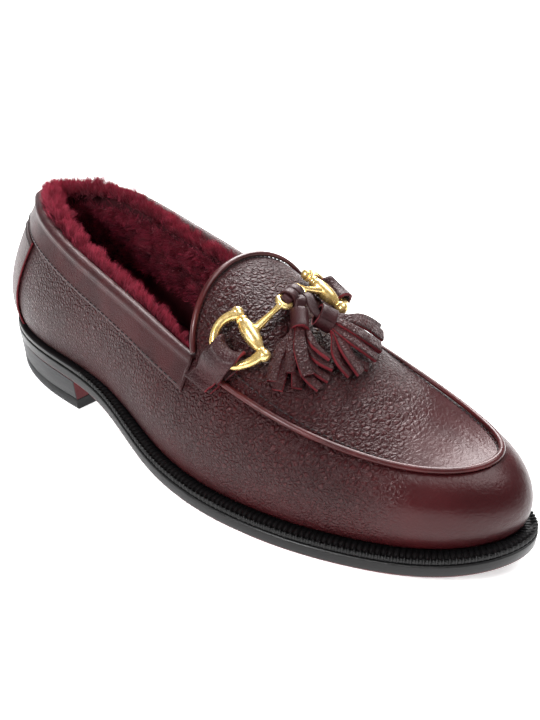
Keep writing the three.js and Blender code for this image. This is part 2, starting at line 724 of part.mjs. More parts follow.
// Joins surfaces that overlap into one solid.
function joined(surfaces) {
  const solids = surfaces.map((surface) => {
    const geometry = surface.geometry();
    const vertProperties = geometry.getAttribute("position").array;
    const triVerts = new Uint32Array(geometry.getIndex().array);
    return new wasm.Manifold(new wasm.Mesh({ numProp: 3, vertProperties, triVerts }));
  });
  const whole = solids.reduce((sum, part) => sum.add(part)).getMesh();
  const geometry = new THREE.BufferGeometry();
  geometry.setAttribute("position", new THREE.BufferAttribute(whole.vertProperties, 3));
  geometry.setIndex(new THREE.BufferAttribute(whole.triVerts, 1));
  geometry.computeVertexNormals();
  return geometry;
}

// The bit lies across the instep in its own frame: the middle of its link, a direction to the toe,
// one to the inner side and one up off the leather.
const SEAT = 2 * CLEARANCE;
const sideSign = (row) => (row.side === "outer" ? -1 : 1);
const middleGirth = crossCurve(BIT_PLACE, -1).getLength() / 2;
const linkGirth = middleGirth - LINK_OFFSET;
const linkHalfHeight = EYE_WIRE / 2 + CLEARANCE + LINK_THICKNESS;
const bitNormal = skinNormal(BIT_PLACE, linkGirth, -1);
const bitAhead = skinPoint(BIT_PLACE + SKIN_STEP, linkGirth, -1)
  .sub(skinPoint(BIT_PLACE - SKIN_STEP, linkGirth, -1)).normalize();
const bitUp = bitNormal.clone().applyAxisAngle(bitAhead, THREE.MathUtils.degToRad(-LINK_TILT));
const bitAcross = bitUp.clone().cross(bitAhead);
const bitMiddle = raised(BIT_PLACE, linkGirth, -1, linkHalfHeight + CLEARANCE + THONG_THICKNESS + SEAT);
const bitPlace = (ahead, across, up) => bitMiddle.clone()
  .addScaledVector(bitAhead, ahead).addScaledVector(bitAcross, across).addScaledVector(bitUp, up);
const wireLift = SEAT + STRAP_THICKNESS + SEAT + (RING_WIRE * RING_TAPER) / 2;

// A place on one side of the instep: ahead and out are lengths from the ring's middle.
function ringSide(row) {
  const side = sideSign(row);
  const x = BIT_PLACE + row.ahead;
  const girth = middleGirth * (1 - row.out);
  return { side, x, girth, at: (ahead, out, lift) => raised(x + ahead, girth - out, side, lift) };
}

// One side of the bit: ring, barrel, half-bar and eye as one casting. The ring is a round arc that
// the barrel closes as a chord.
const RING_STEPS = 16;
const EYE_STEPS = 10;
const BARREL_RADII = [0.4, 0.6, 0.9, 1, 0.9, 0.6, 0.4];
function makeBit(row) {
  const { side, x, girth, at } = ringSide(row);
  const lean = THREE.MathUtils.degToRad(row.lean);
  const half = Math.acos(BARREL_OFFSET / RING_RADIUS);
  const up = skinNormal(x, girth, side);
  const toward = lean - Math.PI / 2;
  const arc = Array.from({ length: RING_STEPS + 1 }, (_, i) => {
    const angle = toward + half + ((2 * Math.PI - 2 * half) * i) / RING_STEPS;
    const away = 0.5 - 0.5 * Math.cos(angle - toward);
    const lift = THREE.MathUtils.lerp(BARREL_LIFT, wireLift, THREE.MathUtils.smoothstep(away, 0.3, 0.7));
    const slim = THREE.MathUtils.smoothstep(away, 0.2, 0.7);
    const radius = (RING_WIRE / 2) * THREE.MathUtils.lerp(1, RING_TAPER, slim);
    return { point: at(RING_RADIUS * Math.cos(angle), RING_RADIUS * Math.sin(angle), lift), size: [radius, radius] };
  });
  const first = arc[0].point;
  const last = arc[RING_STEPS].point;
  const ring = bar(arc.map((p) => p.point), arc.map(() => up), arc.map((p) => p.size), ROUND);
  const barrel = bar(
    BARREL_RADII.map((_, i) => first.clone().lerp(last, i / (BARREL_RADII.length - 1))),
    BARREL_RADII.map(() => up),
    BARREL_RADII.map((share) => [(share * BARREL_DIAMETER) / 2, (share * BARREL_DIAMETER) / 2]),
    ROUND,
  );
  const eyeCentre = bitPlace(0, (side * EYE_SPACING) / 2, 0);
  const eyeRadius = (EYE_DIAMETER - EYE_WIRE) / 2;
  const eyeAngles = Array.from({ length: EYE_STEPS }, (_, i) => (2 * Math.PI * i) / EYE_STEPS);
  const eye = bar(
    eyeAngles.map((angle) => eyeCentre.clone()
      .addScaledVector(bitAhead, eyeRadius * Math.cos(angle))
      .addScaledVector(bitAcross, eyeRadius * Math.sin(angle))),
    eyeAngles.map(() => bitUp),
    eyeAngles.map(() => [EYE_WIRE / 2, EYE_WIRE / 2]),
    ROUND,
    true,
  );
  const root = first.clone().lerp(last, 0.5);
  const tip = eyeCentre.clone().addScaledVector(bitAcross, side * eyeRadius);
  const halfBar = bar(
    [root, tip],
    [up, up],
    [[HALF_BAR_ROOT / 2, HALF_BAR_ROOT / 2], [HALF_BAR_END / 2, EYE_WIRE / 2]],
    ROUND,
  );
  return joined([ring, barrel, eye, halfBar]);
}
for (const row of BITS) place(`bit_${row.side}`, makeBit(row), GOLD);

// Straps: a strip folded round the ring's wire and stitched down on the side of the upper.
const STRAP_COLUMNS = 6;
const STRAP_ROWS = 4;
const FOLD_STEPS = 4;
function makeStrap(row) {
  const { side, x, girth } = ringSide(row);
  const wireRadius = (RING_WIRE * RING_TAPER) / 2;
  const overLift = SEAT + 2 * STRAP_THICKNESS + CLEARANCE;
  const sheet = new Surface();
  const columns = [];
  for (let j = 0; j <= STRAP_COLUMNS; j++) {
    const ahead = (j / STRAP_COLUMNS - 0.5) * STRAP_WIDTH - STRAP_SETBACK;
    const fall = Math.sqrt(RING_RADIUS ** 2 - ahead ** 2);
    const foldGirth = girth - fall;
    const high = wireRadius + SEAT + STRAP_THICKNESS;
    const long = ((wireRadius + SEAT + CLEARANCE) * RING_RADIUS) / fall + STRAP_THICKNESS;
    const rows = [];
    const straight = (share, lift) => rows.push([share, THREE.MathUtils.lerp(-STRAP_END, foldGirth, share), lift]);
    for (let i = 0; i < STRAP_ROWS; i++) straight(i / STRAP_ROWS, SEAT);
    for (let i = 0; i <= FOLD_STEPS; i++) {
      const angle = Math.PI * (i / FOLD_STEPS - 0.5);
      rows.push([1, foldGirth + long * Math.cos(angle), wireLift + high * Math.sin(angle)]);
    }
    for (let i = STRAP_ROWS - 1; i >= 0; i--) {
      const rise = THREE.MathUtils.smoothstep(i, STRAP_ROWS - 2, STRAP_ROWS);
      straight(i / STRAP_ROWS, THREE.MathUtils.lerp(overLift, wireLift + high, rise));
    }
    columns.push(sheet.ring(rows.map(([share, up, lift]) =>
      raised(x + ahead + STRAP_SLANT * (share - 1), up, side, lift))));
  }
  for (let j = 1; j < columns.length; j++) sheet.strip(columns[j - 1], columns[j], false);
  if (side > 0) sheet.faces.forEach((face) => face.reverse());
  return sheet.thickened(0, STRAP_THICKNESS);
}
for (const row of BITS) place(`strap_${row.side}`, makeStrap(row), BURGUNDY);

// Link wrap: a leather band that runs through both eyes and back under them.
const LINK_ARC = 3;
function makeLink() {
  const reachAcross = EYE_SPACING / 2 - CLEARANCE;
  const middleRadius = linkHalfHeight - LINK_THICKNESS / 2;
  const path = [];
  for (const side of [1, -1]) {
    for (let i = 0; i <= LINK_ARC; i++) {
      const angle = Math.PI * (i / LINK_ARC - 0.5);
      const across = side * (reachAcross - middleRadius + middleRadius * Math.cos(angle));
      path.push(bitPlace(0, across, side * middleRadius * Math.sin(angle)));
    }
  }
  const ups = path.map((point) => bitAhead);
  const sizes = path.map(() => [LINK_THICKNESS / 2, LINK_WIDTH / 2]);
  return bar(path, ups, sizes, FLAT, true);
}
place("link_wrap", makeLink(), BURGUNDY);

// Tassels: a thong round the link, a rolled cap and a fan of cut strips, as one solid each.
const CAP_SIDES = 12;
function makeTassel(row) {
  const side = sideSign(row);
  const at = (ahead, out, lift) => raised(BIT_PLACE + ahead, middleGirth * (1 - out), side, lift);
  const across = side * THONG_SPACING / 2;
  const halfWide = LINK_WIDTH / 2 + CLEARANCE + THONG_THICKNESS / 2;
  const halfHigh = linkHalfHeight + CLEARANCE + THONG_THICKNESS / 2;
  const corners = [[1, 1], [-1, 1], [-1, -1], [1, -1]];
  const loop = bar(
    corners.map(([u, v]) => bitPlace(u * halfWide, across, v * halfHigh)),
    corners.map(() => bitAcross),
    corners.map(() => [(THONG_THICKNESS / 2) * Math.SQRT2, THONG_WIDTH / 2]),
    FLAT,
    true,
  );
  const top = at(row.topAhead, row.topOut, CAP_LIFT);
  const end = at(row.endAhead, row.endOut, CAP_LIFT - 1);
  const up = skinNormal(BIT_PLACE + row.endAhead, middleGirth * (1 - row.endOut), side);
  const neck = bar(
    [bitPlace(halfWide, across, halfHigh / 2), top.clone().lerp(end, 0.2)],
    [bitUp, up],
    [[THONG_WIDTH / 2, THONG_THICKNESS / 2], [THONG_WIDTH / 2, THONG_THICKNESS / 2]],
    FLAT,
  );
  const circle = Array.from({ length: CAP_SIDES }, (_, i) => (2 * Math.PI * i) / CAP_SIDES)
    .map((angle) => [Math.cos(angle), Math.sin(angle)]);
  const cap = bar([top, end], [up, up], [1, 1].map(() => [row.cap / 2, row.cap / 2]), circle);
  const strips = Array.from({ length: STRIPS }, (_, i) => {
    const share = i / (STRIPS - 1);
    const angle = THREE.MathUtils.degToRad(row.heading + row.spread * (2 * share - 1));
    const over = i % 2 ? STRIP_THICKNESS * 2 : 0;
    const along = (run, lift) => raised(
      BIT_PLACE + row.endAhead + run * Math.cos(angle),
      middleGirth * (1 - row.endOut) - run * Math.sin(angle),
      side,
      lift,
    );
    const path = [
      top.clone().lerp(end, 0.6),
      end.clone().addScaledVector(up, (over - STRIP_THICKNESS) / 2),
      along(row.length * 0.4, STRIP_LIFT + over + 1.5),
      along(row.length * 0.75, STRIP_LIFT + over),
      along(row.length, STRIP_LIFT + over / 2),
    ];
    const widths = [0.5, 0.8, 1, 1, 1];
    return bar(
      path,
      path.map(() => up),
      widths.map((share) => [(share * STRIP_WIDTH) / 2, STRIP_THICKNESS / 2]),
      FLAT,
    );
  });
  return joined([loop, neck, cap, ...strips]);
}
for (const row of TASSELS) place(`tassel_${row.side}`, makeTassel(row), BURGUNDY);

// Heel stack and top lift: the sole's outline cut off square at the breast.
const heelColumns = COLUMN_LIST.filter(({ turn }) => SOLE_LENGTH * shareOf(turn) < HEEL_LENGTH - CLEARANCE);
const breastTurn = turnOf(HEEL_LENGTH / SOLE_LENGTH);
function heelRing(body, inset, height) {
  const nearCount = (heelColumns.length + 1) / 2;
  const columns = [...heelColumns];
  columns.splice(nearCount, 0, { turn: breastTurn, side: -1 }, { turn: breastTurn, side: 1 });
  return body.ring(columns.map(({ turn, side }) => {
    const plan = insetOutline(turn, side, inset);
    if (turn === breastTurn) plan.x = HEEL_LENGTH;
    return new THREE.Vector3(plan.x, plan.y, height(plan.x));
  }));
}
// Closes a heel ring, which starts with the single point at its back.
function heelCap(body, ring, flip) {
  const count = ring.length;
  const corners = [];
  for (let i = 0; i < (count - 1) / 2; i++) {
    corners.push([ring[i], ring[i + 1], ring[count - i - 1], ring[(count - i) % count]]);
  }
  for (const quad of corners) body.quad(...(flip ? quad.reverse() : quad));
}
function heelBlock(levels) {
  const body = new Surface();
  const rings = levels.map(([inset, height]) => heelRing(body, inset, height));
  for (let i = 1; i < rings.length; i++) body.strip(rings[i - 1], rings[i]);
  heelCap(body, rings[0], true);
  heelCap(body, rings[rings.length - 1], false);
  return body;
}
place("top_lift", heelBlock([
  [HEEL_TAPER + EDGE_BEVEL, () => 0],
  [HEEL_TAPER, () => EDGE_BEVEL],
  [HEEL_TAPER, () => LIFT_THICKNESS],
]), BLACK_EDGE);
place("heel_stack", heelBlock([
  [HEEL_TAPER, () => LIFT_THICKNESS + CLEARANCE],
  [EDGE_BEVEL, (x) => underside(x) - CLEARANCE],
]), BLACK_EDGE);

// The origin is under the middle of the whole shoe, on the floor.
const bounds = new THREE.Box3().setFromObject(shoe);
const middle = bounds.getCenter(new THREE.Vector3());
shoe.position.set(-middle.x, -middle.y, -bounds.min.z);

export default shoe;
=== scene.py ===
# %% [markdown]
# # A tassel loafer in Blender
# The shoe on the bench is a slip-on: a soft calf upper, a leather sole and a low heel. Every form here is
# worked out from the same few lengths as the shoe's plan, so the first step loads that plan and keeps its
# box.

import math

import bpy
import numpy as np
from mathutils import Matrix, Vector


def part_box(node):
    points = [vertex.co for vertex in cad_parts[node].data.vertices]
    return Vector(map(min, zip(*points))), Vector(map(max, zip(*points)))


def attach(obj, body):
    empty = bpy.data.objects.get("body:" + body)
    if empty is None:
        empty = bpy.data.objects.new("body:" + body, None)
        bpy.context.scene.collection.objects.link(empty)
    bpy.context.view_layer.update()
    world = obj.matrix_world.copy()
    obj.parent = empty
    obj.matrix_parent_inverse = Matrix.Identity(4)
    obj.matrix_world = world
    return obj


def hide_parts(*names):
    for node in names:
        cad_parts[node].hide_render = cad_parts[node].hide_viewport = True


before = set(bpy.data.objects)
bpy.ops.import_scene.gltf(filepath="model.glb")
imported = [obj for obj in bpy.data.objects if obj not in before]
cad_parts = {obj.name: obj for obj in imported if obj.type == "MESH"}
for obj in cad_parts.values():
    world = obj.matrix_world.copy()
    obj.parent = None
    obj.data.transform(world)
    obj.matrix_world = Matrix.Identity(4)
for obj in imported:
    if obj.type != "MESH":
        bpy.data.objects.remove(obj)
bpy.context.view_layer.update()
MM = 0.001
print("nodes in the plan:", len(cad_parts))

# %% [markdown]
# ## Sizes of the shoe
# A shoemaker starts from the length, the ball width, the heel and the thickness of each layer. All lengths
# below are in millimetres, x from the back of the heel to the toe, and the outer side of the foot at -y.

# %% Driving sizes in millimetres
SOLE_LENGTH, BALL_WIDTH = 300.0, 105.0
HEEL_HEIGHT, TOE_SPRING = 17.5, 10.0
COLLAR_RISE, INSTEP_CROWN = 60.0, 27.0
GAP = 0.3
OUTSOLE, WELT, INSOLE = 5.4, 2.6, 4.4
WELT_REACH, SEAT_REACH = 5.8, 3.4
SEAT_END, WELT_START = 0.28, 0.5
WALL = 2.2
COLLAR_START, APRON_TIP = 15.5, 281.5
TONGUE_REACH, BOW_REACH, TONGUE_ROUND = 10.5, 9.4, 0.6
BAND_WIDTH, BAND_THICKNESS = 13.0, 1.2
JUNCTION = 18 / 32

OUTLINE = [
    # at, half width, sideways shift, as shares of the ball width
    (0.04, 0.228, 0.01), (0.12, 0.328, -0.02), (0.24, 0.35, -0.065), (0.38, 0.338, -0.096),
    (0.52, 0.428, -0.092), (0.64, 0.498, -0.04), (0.74, 0.496, 0.0), (0.85, 0.41, 0.02),
    (0.94, 0.249, -0.008),
]
PROFILE = [
    # at, share of the heel height, share of the toe spring
    (0, 1, 0), (0.12, 0.93, 0), (0.24, 0.95, 0), (0.36, 0.75, 0), (0.5, 0.22, 0), (0.6, 0.03, 0),
    (0.76, 0, 0), (0.88, 0, 0.14), (1, 0, 1),
]
TOPLINE = [
    # at, half width and shift as shares of the ball width, rise as a share of the collar rise
    (0, 0, 0.03, 0.985), (0.06, 0.158, 0.045, 1.02), (0.18, 0.272, 0, 0.98), (0.32, 0.316, -0.02, 0.87),
    (0.46, 0.33, -0.04, 0.865), (0.6, 0.34, -0.053, 0.79), (0.74, 0.335, -0.056, 0.66),
    (0.88, 0.264, -0.02, 0.52), (1, 0, -0.007, 0.465),
]
FULLNESS = [
    # at, lean low, run up, lean high, run down: how far the wall's curve bulges out
    (0, 0.075, 0.35, 0.085, 0.3), (0.15, 0.075, 0.35, 0.08, 0.3), (0.35, 0.07, 0.4, 0.06, 0.3),
    (0.6, 0.07, 0.45, 0.08, 0.2), (0.8, 0.07, 0.5, 0.1, 0.12), (1, 0.06, 0.55, 0.08, 0.08),
]
CROWN = [
    # at, rise over the seam as a share of the instep crown, and how flat the arch is
    (0, 0.99, 0.5), (0.15, 0.93, 0.55), (0.4, 0.55, 0.75), (0.7, 0.2, 1.0), (1, 0.0, 1.0),
]

# %% [markdown]
# ## Smooth columns
# A last has no corners, so each column of a table becomes a cubic spline. The knots lie on a half circle
# rather than a line: widths that close at both ends then come out round, as heel and toe are.

# %% Splines through the tables


class Spline:
    """A cubic spline through knots, with flat or free ends."""

    def __init__(self, knots, values, flat=True):
        knots, values = np.array(knots, float), np.array(values, float)
        count = len(knots)
        gap = np.diff(knots)
        slope = np.diff(values) / gap
        system, right = np.eye(count), np.zeros(count)
        for i in range(1, count - 1):
            system[i, i - 1 : i + 2] = gap[i - 1], 2 * (gap[i - 1] + gap[i]), gap[i]
            right[i] = 6 * (slope[i] - slope[i - 1])
        if flat:
            system[0, :2] = 2 * gap[0], gap[0]
            system[-1, -2:] = gap[-1], 2 * gap[-1]
            right[0], right[-1] = 6 * slope[0], -6 * slope[-1]
        self.knots, self.values, self.gap, self.slope = knots, values, gap, slope
        self.bend = np.linalg.solve(system, right)

    def __call__(self, knot):
        i = np.clip(np.searchsorted(self.knots, knot) - 1, 0, len(self.gap) - 1)
        t = knot - self.knots[i]
        curve = (self.bend[i + 1] - self.bend[i]) / (6 * self.gap[i])
        tilt = self.slope[i] - self.gap[i] * (2 * self.bend[i] + self.bend[i + 1]) / 6
        return self.values[i] + t * (tilt + t * (self.bend[i] / 2 + t * curve))


def turn_of(share):
    return np.arccos(1 - 2 * np.clip(share, 0, 1)) / math.pi


def share_of(turn):
    return (1 - np.cos(math.pi * turn)) / 2


def column(table, index, size):
    return Spline([turn_of(row[0]) for row in table], [row[index] * size for row in table])


def rounded_column(table, index, size):
    rows = [row for row in table if 0 < row[0] < 1]
    knots = [0, *[turn_of(row[0]) for row in rows], 1]
    return Spline(knots, [0, *[row[index] * size for row in rows], 0], flat=False)


with_ends = [(0, *OUTLINE[0][1:]), *OUTLINE, (1, *OUTLINE[-1][1:])]
sole_half = rounded_column(OUTLINE, 1, BALL_WIDTH)
sole_shift = column(with_ends, 2, BALL_WIDTH)
heel_lift, toe_lift = column(PROFILE, 1, HEEL_HEIGHT), column(PROFILE, 2, TOE_SPRING)
top_half = rounded_column(TOPLINE, 1, BALL_WIDTH)
top_shift, top_rise = column(TOPLINE, 2, BALL_WIDTH), column(TOPLINE, 3, COLLAR_RISE)
low_lean, low_run = column(FULLNESS, 1, BALL_WIDTH), column(FULLNESS, 2, 1)
high_lean, high_run = column(FULLNESS, 3, BALL_WIDTH), column(FULLNESS, 4, 1)
crown, crown_flat = column(CROWN, 1, INSTEP_CROWN), column(CROWN, 2, 1)
print("half width at the ball:", round(float(sole_half(turn_of(0.66))), 1), "mm")

# %% [markdown]
# ## The sole's plan and the last over it
# A lap counts round the shoe: 0 at the heel, 1 at the toe along the outer side, and 2 back at the heel. The
# wall rises from the welt to the top line as one bulging curve, and the apron closes the instep.

# %% Plan, wall and apron as functions


def split_lap(lap):
    lap = np.asarray(lap, float) % 2
    return np.where(lap <= 1, lap, 2 - lap), np.where(lap <= 1, -1.0, 1.0)


def outline(turn, side):
    return np.stack([SOLE_LENGTH * share_of(turn), sole_shift(turn) + side * sole_half(turn)], -1)


def inward(turn, side, step=0.002):
    turn = np.clip(turn, step, 1 - step)
    along = outline(turn + step, side) - outline(turn - step, side)
    along /= np.linalg.norm(along, axis=-1, keepdims=True)
    side = np.asarray(side)[..., None] if np.ndim(side) else side
    return side * np.stack([along[..., 1], -along[..., 0]], -1)


def inset_outline(turn, side, distance):
    distance = np.asarray(distance)[..., None] if np.ndim(distance) else distance
    return outline(turn, side) + inward(turn, side) * distance


def smoothstep(x, low, high):
    t = np.clip((x - low) / (high - low), 0, 1)
    return t * t * (3 - 2 * t)


def reach(turn):
    return SEAT_REACH + (WELT_REACH - SEAT_REACH) * smoothstep(share_of(turn), SEAT_END, WELT_START)


def underside(x):
    turn = turn_of(x / SOLE_LENGTH)
    return np.maximum(0, heel_lift(turn)) + np.maximum(0, toe_lift(turn))


def outsole_top(x):
    return underside(x) + OUTSOLE


def welt_top(x):
    return outsole_top(x) + GAP + WELT


def apron_x(turn):
    return COLLAR_START + (APRON_TIP - COLLAR_START) * share_of(turn)


def top_point(turn, side):
    x = apron_x(turn)
    return np.stack([x, top_shift(turn) + side * top_half(turn), welt_top(x) + top_rise(turn)], -1)


def wall_points(laps, shares, fine=48):
    """Points of the wall: a row of heights, as shares of each column's own length, for every lap."""
    turn, side = split_lap(laps)
    plan = inset_outline(turn, side, reach(turn))
    foot = np.column_stack([plan, welt_top(plan[:, 0]) + GAP])
    top = top_point(turn, side)
    tall = (top - foot)[:, 2]
    out = -inward(turn, side)
    low, high = foot.copy(), top.copy()
    low[:, :2] += out * low_lean(turn)[:, None]
    low[:, 2] += low_run(turn) * tall
    high[:, :2] += out * high_lean(turn)[:, None]
    high[:, 2] -= high_run(turn) * tall
    t = np.linspace(0, 1, fine)[None, :, None]
    ends = [p[:, None, :] for p in (foot, low, high, top)]
    pulls = (1 - t) ** 3, 3 * t * (1 - t) ** 2, 3 * t * t * (1 - t), t**3
    curve = sum(pull * point for pull, point in zip(pulls, ends))
    steps = np.linalg.norm(np.diff(curve, axis=1), axis=2)
    run = np.concatenate([np.zeros((len(laps), 1)), np.cumsum(steps, 1)], 1)
    shares = np.broadcast_to(shares, (len(laps), np.shape(shares)[-1]))
    points = np.empty((len(laps), shares.shape[1], 3))
    for c in range(len(laps)):
        for axis in range(3):
            points[c, :, axis] = np.interp(shares[c] * run[c, -1], run[c], curve[c, :, axis])
    return points, run[:, -1]


junction = top_point(np.array(JUNCTION), -1.0)
ahead = top_point(np.array(JUNCTION + 1 / 32), -1.0)
SEAM_FALL = (junction[2] - ahead[2]) / (ahead[0] - junction[0])
TONGUE_END = junction[0] - TONGUE_REACH


def apron_turn(x):
    return turn_of((x - COLLAR_START) / (APRON_TIP - COLLAR_START))


def apron_height(x, y):
    turn = apron_turn(np.maximum(x, junction[0]))
    across = np.minimum(1, np.abs(y - top_shift(turn)) / np.maximum(top_half(turn), GAP))
    seam = top_point(turn, -1.0)[..., 2] + SEAM_FALL * np.maximum(0, junction[0] - x)
    along = turn_of((x - TONGUE_END) / (APRON_TIP - TONGUE_END))
    return seam + crown(along) * (1 - across**2) ** crown_flat(along)


def apron_point(turn, across, bow=0.0):
    x = apron_x(turn) - bow * BOW_REACH * (1 - across**2) ** TONGUE_ROUND
    y = top_shift(turn) + across * top_half(turn)
    return np.stack([x, y, apron_height(x, y)], -1)


SHIFT = np.array([*(np.array(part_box("outsole")[0]) + np.array(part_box("outsole")[1]))[:2] / 2 / MM, 0])
edge_laps = np.linspace(0, 2, 400, endpoint=False)
edge = outline(*split_lap(edge_laps))
SHIFT[:2] -= (edge.min(0) + edge.max(0)) / 2
print("the plan lies at", [round(float(c), 2) for c in SHIFT], "mm from the heel")

# %% [markdown]
# ## Meshes from rings and grids
# Leather parts are sheets, so one small class gathers rows of points into a sheet, gives it a thickness, and
# turns it into a Blender object. Building by rows keeps the faces running with the form, as a good mesh does.

# %% A sheet of faces


class Sheet:
    """Points and faces gathered row by row, with named values kept for each point."""

    def __init__(self):
        self.points = np.empty((0, 3))
        self.faces = []
        self.marks = []

    def add(self, points):
        first = len(self.points)
        self.points = np.vstack([self.points, np.asarray(points, float).reshape(-1, 3)])
        return np.arange(first, len(self.points)).reshape(np.shape(points)[:-1])

    def grid(self, rows, close_rows=False, close_columns=False, mark=0):
        rows = np.asarray(rows)
        if close_rows:
            rows = np.vstack([rows, rows[:1]])
        if close_columns:
            rows = np.hstack([rows, rows[:, :1]])
        a, b, c, d = rows[:-1, :-1], rows[1:, :-1], rows[1:, 1:], rows[:-1, 1:]
        for quad in np.stack([a, b, c, d], -1).reshape(-1, 4).tolist():
            corners = list(dict.fromkeys(quad))
            if len(corners) > 2:
                self.faces.append(corners)
                self.marks.append(mark)

    def cap(self, ring, mark=0):
        self.faces.append([int(i) for i in ring])
        self.marks.append(mark)

    def normals(self):
        normals = np.zeros_like(self.points)
        for size in (3, 4):
            faces = np.array([f for f in self.faces if len(f) == size], int)
            if len(faces) == 0:
                continue
            corners = self.points[faces]
            second = corners[:, 2] - corners[:, 0]
            first = corners[:, 1] - corners[:, 0] if size == 3 else corners[:, 1] - corners[:, 3]
            square = np.cross(first, second)
            for i in range(size):
                np.add.at(normals, faces[:, i], square)
        return normals / np.maximum(np.linalg.norm(normals, axis=1, keepdims=True), 1e-12)

    def thicken(self, thickness, edge_mark=None, back_mark=None):
        """Adds a second face inside the first and closes the open edges between them."""
        count = len(self.points)
        back = self.points - self.normals() * np.reshape(thickness, (-1, 1))
        edges = {}
        for face in self.faces:
            for a, b in zip(face, face[1:] + face[:1]):
                if (b, a) in edges:
                    del edges[(b, a)]
                else:
                    edges[(a, b)] = True
        front, marks = list(self.faces), list(self.marks)
        self.points = np.vstack([self.points, back])
        self.faces += [[i + count for i in reversed(face)] for face in front]
        self.marks += [mark if back_mark is None else back_mark for mark in marks]
        for a, b in edges:
            self.faces.append([b, a, a + count, b + count])
            self.marks.append(0 if edge_mark is None else edge_mark)
        return count


def dress(name, sheet, materials, nodes=(), smooth=True, values=None):
    """Makes a sheet into a named piece of the shoe that rides on it and stands for its plan's nodes."""
    mesh = bpy.data.meshes.new(name)
    mesh.from_pydata(((sheet.points + SHIFT) * MM).tolist(), [], sheet.faces)
    mesh.polygons.foreach_set("material_index", sheet.marks)
    mesh.polygons.foreach_set("use_smooth", [smooth] * len(mesh.polygons))
    for material in materials:
        mesh.materials.append(material)
    for key, numbers in (values or {}).items():
        layer = mesh.attributes.new(key, "FLOAT", "POINT")
        padded = np.zeros(len(mesh.vertices), np.float32)
        padded[: len(numbers)] = numbers
        layer.data.foreach_set("value", padded)
    mesh.update()
    piece = bpy.data.objects.new(name, mesh)
    bpy.context.scene.collection.objects.link(piece)
    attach(piece, "root")
    if nodes:
        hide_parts(*nodes)
    print(name, len(mesh.polygons), "faces")
    return piece


def unit(vectors):
    vectors = np.asarray(vectors, float)
    return vectors / np.maximum(np.linalg.norm(vectors, axis=-1, keepdims=True), 1e-12)


# %% [markdown]
# ## A small language for shaders
# A material is a sum of patterns, so it reads best as arithmetic. A Signal wraps one socket of a node tree
# and answers to + - * and /, and `make` takes a node's type, its settings and what goes into its sockets.

# %% Shader and Signal


class Signal:
    """One output of a node, which can be added, scaled and mixed like a number."""

    def __init__(self, shader, socket):
        self.shader, self.socket = shader, socket

    def _math(self, operation, first, second=0.0, clamp=False):
        settings = {"operation": operation, "use_clamp": clamp}
        return self.shader.make("ShaderNodeMath", settings, {0: first, 1: second})

    def __add__(self, other):
        return self._math("ADD", self, other)

    def __sub__(self, other):
        return self._math("SUBTRACT", self, other)

    def __mul__(self, other):
        return self._math("MULTIPLY", self, other)

    def __truediv__(self, other):
        return self._math("DIVIDE", self, other)

    def __radd__(self, other):
        return self._math("ADD", other, self)

    def __rsub__(self, other):
        return self._math("SUBTRACT", other, self)

    def __rmul__(self, other):
        return self._math("MULTIPLY", other, self)

    def between(self, low, high):
        """0 under low, 1 over high, with a soft step between."""
        settings = {"interpolation_type": "SMOOTHSTEP"}
        return self.shader.make("ShaderNodeMapRange", settings, {0: self, 1: low, 2: high, 3: 0.0, 4: 1.0})

    def moved(self, by, amount):
        """A place pushed aside by a colour of noise around its middle grey."""
        centred = self.shader.vector("SUBTRACT", by, (0.5, 0.5, 0.5))
        pushed = self.shader.vector("MULTIPLY", centred, (amount, amount, amount))
        return self.shader.vector("ADD", self, pushed)

    def stretched(self, x, y, z):
        return self.shader.vector("MULTIPLY", self, (x, y, z))


class Shader:
    """A material's node tree, built from its surface node up."""

    def __init__(self, name):
        self.material = bpy.data.materials.new(name)
        self.material.use_nodes = True
        self.nodes, self.links = self.material.node_tree.nodes, self.material.node_tree.links
        self.nodes.clear()
        self.place = self.make("ShaderNodeTexCoord", output="Object")

    def make(self, kind, settings=None, sockets=None, output=0):
        node = self.nodes.new(kind)
        for key, value in (settings or {}).items():
            if key == "stops":
                ramp = node.color_ramp.elements
                for i, (at, colour) in enumerate(value):
                    stop = ramp[i] if i < len(ramp) else ramp.new(at)
                    stop.position, stop.color = at, colour
            else:
                setattr(node, key, value)
        for key, value in (sockets or {}).items():
            if isinstance(value, Signal):
                self.links.new(value.socket, node.inputs[key])
            else:
                node.inputs[key].default_value = value
        return Signal(self, node.outputs[output])

    def vector(self, operation, first, second):
        return self.make("ShaderNodeVectorMath", {"operation": operation}, {0: first, 1: second})

    def noise(self, size, place=None, detail=3.0, rough=0.5, output=0):
        """Cloudy noise whose blobs are about `size` millimetres."""
        sockets = {"Vector": place or self.place, "Scale": 1 / (size * MM)}
        sockets.update(Detail=detail, Roughness=rough)
        return self.make("ShaderNodeTexNoise", {}, sockets, output)

    def cells(self, size, place=None, feature="DISTANCE_TO_EDGE", output=0):
        sockets = {"Vector": place or self.place, "Scale": 1 / (size * MM)}
        return self.make("ShaderNodeTexVoronoi", {"feature": feature}, sockets, output)

    def mark(self, name):
        return self.make("ShaderNodeAttribute", {"attribute_name": name}, output="Fac")

    def mix(self, mask, first, second):
        return self.make("ShaderNodeMix", {"data_type": "RGBA"}, {0: mask, 6: first, 7: second}, 2)

    def bump(self, height, distance, strength=1.0, under=None):
        sockets = {"Height": height, "Distance": distance * MM, "Strength": strength}
        if under is not None:
            sockets["Normal"] = under
        return self.make("ShaderNodeBump", {}, sockets)

    def surface(self, **sockets):
        plain = {key.replace("_", " "): value for key, value in sockets.items()}
        skin = self.make("ShaderNodeBsdfPrincipled", {}, plain)
        self.make_output(skin)
        return self.material

    def make_output(self, skin):
        node = self.nodes.new("ShaderNodeOutputMaterial")
        self.links.new(skin.socket, node.inputs["Surface"])


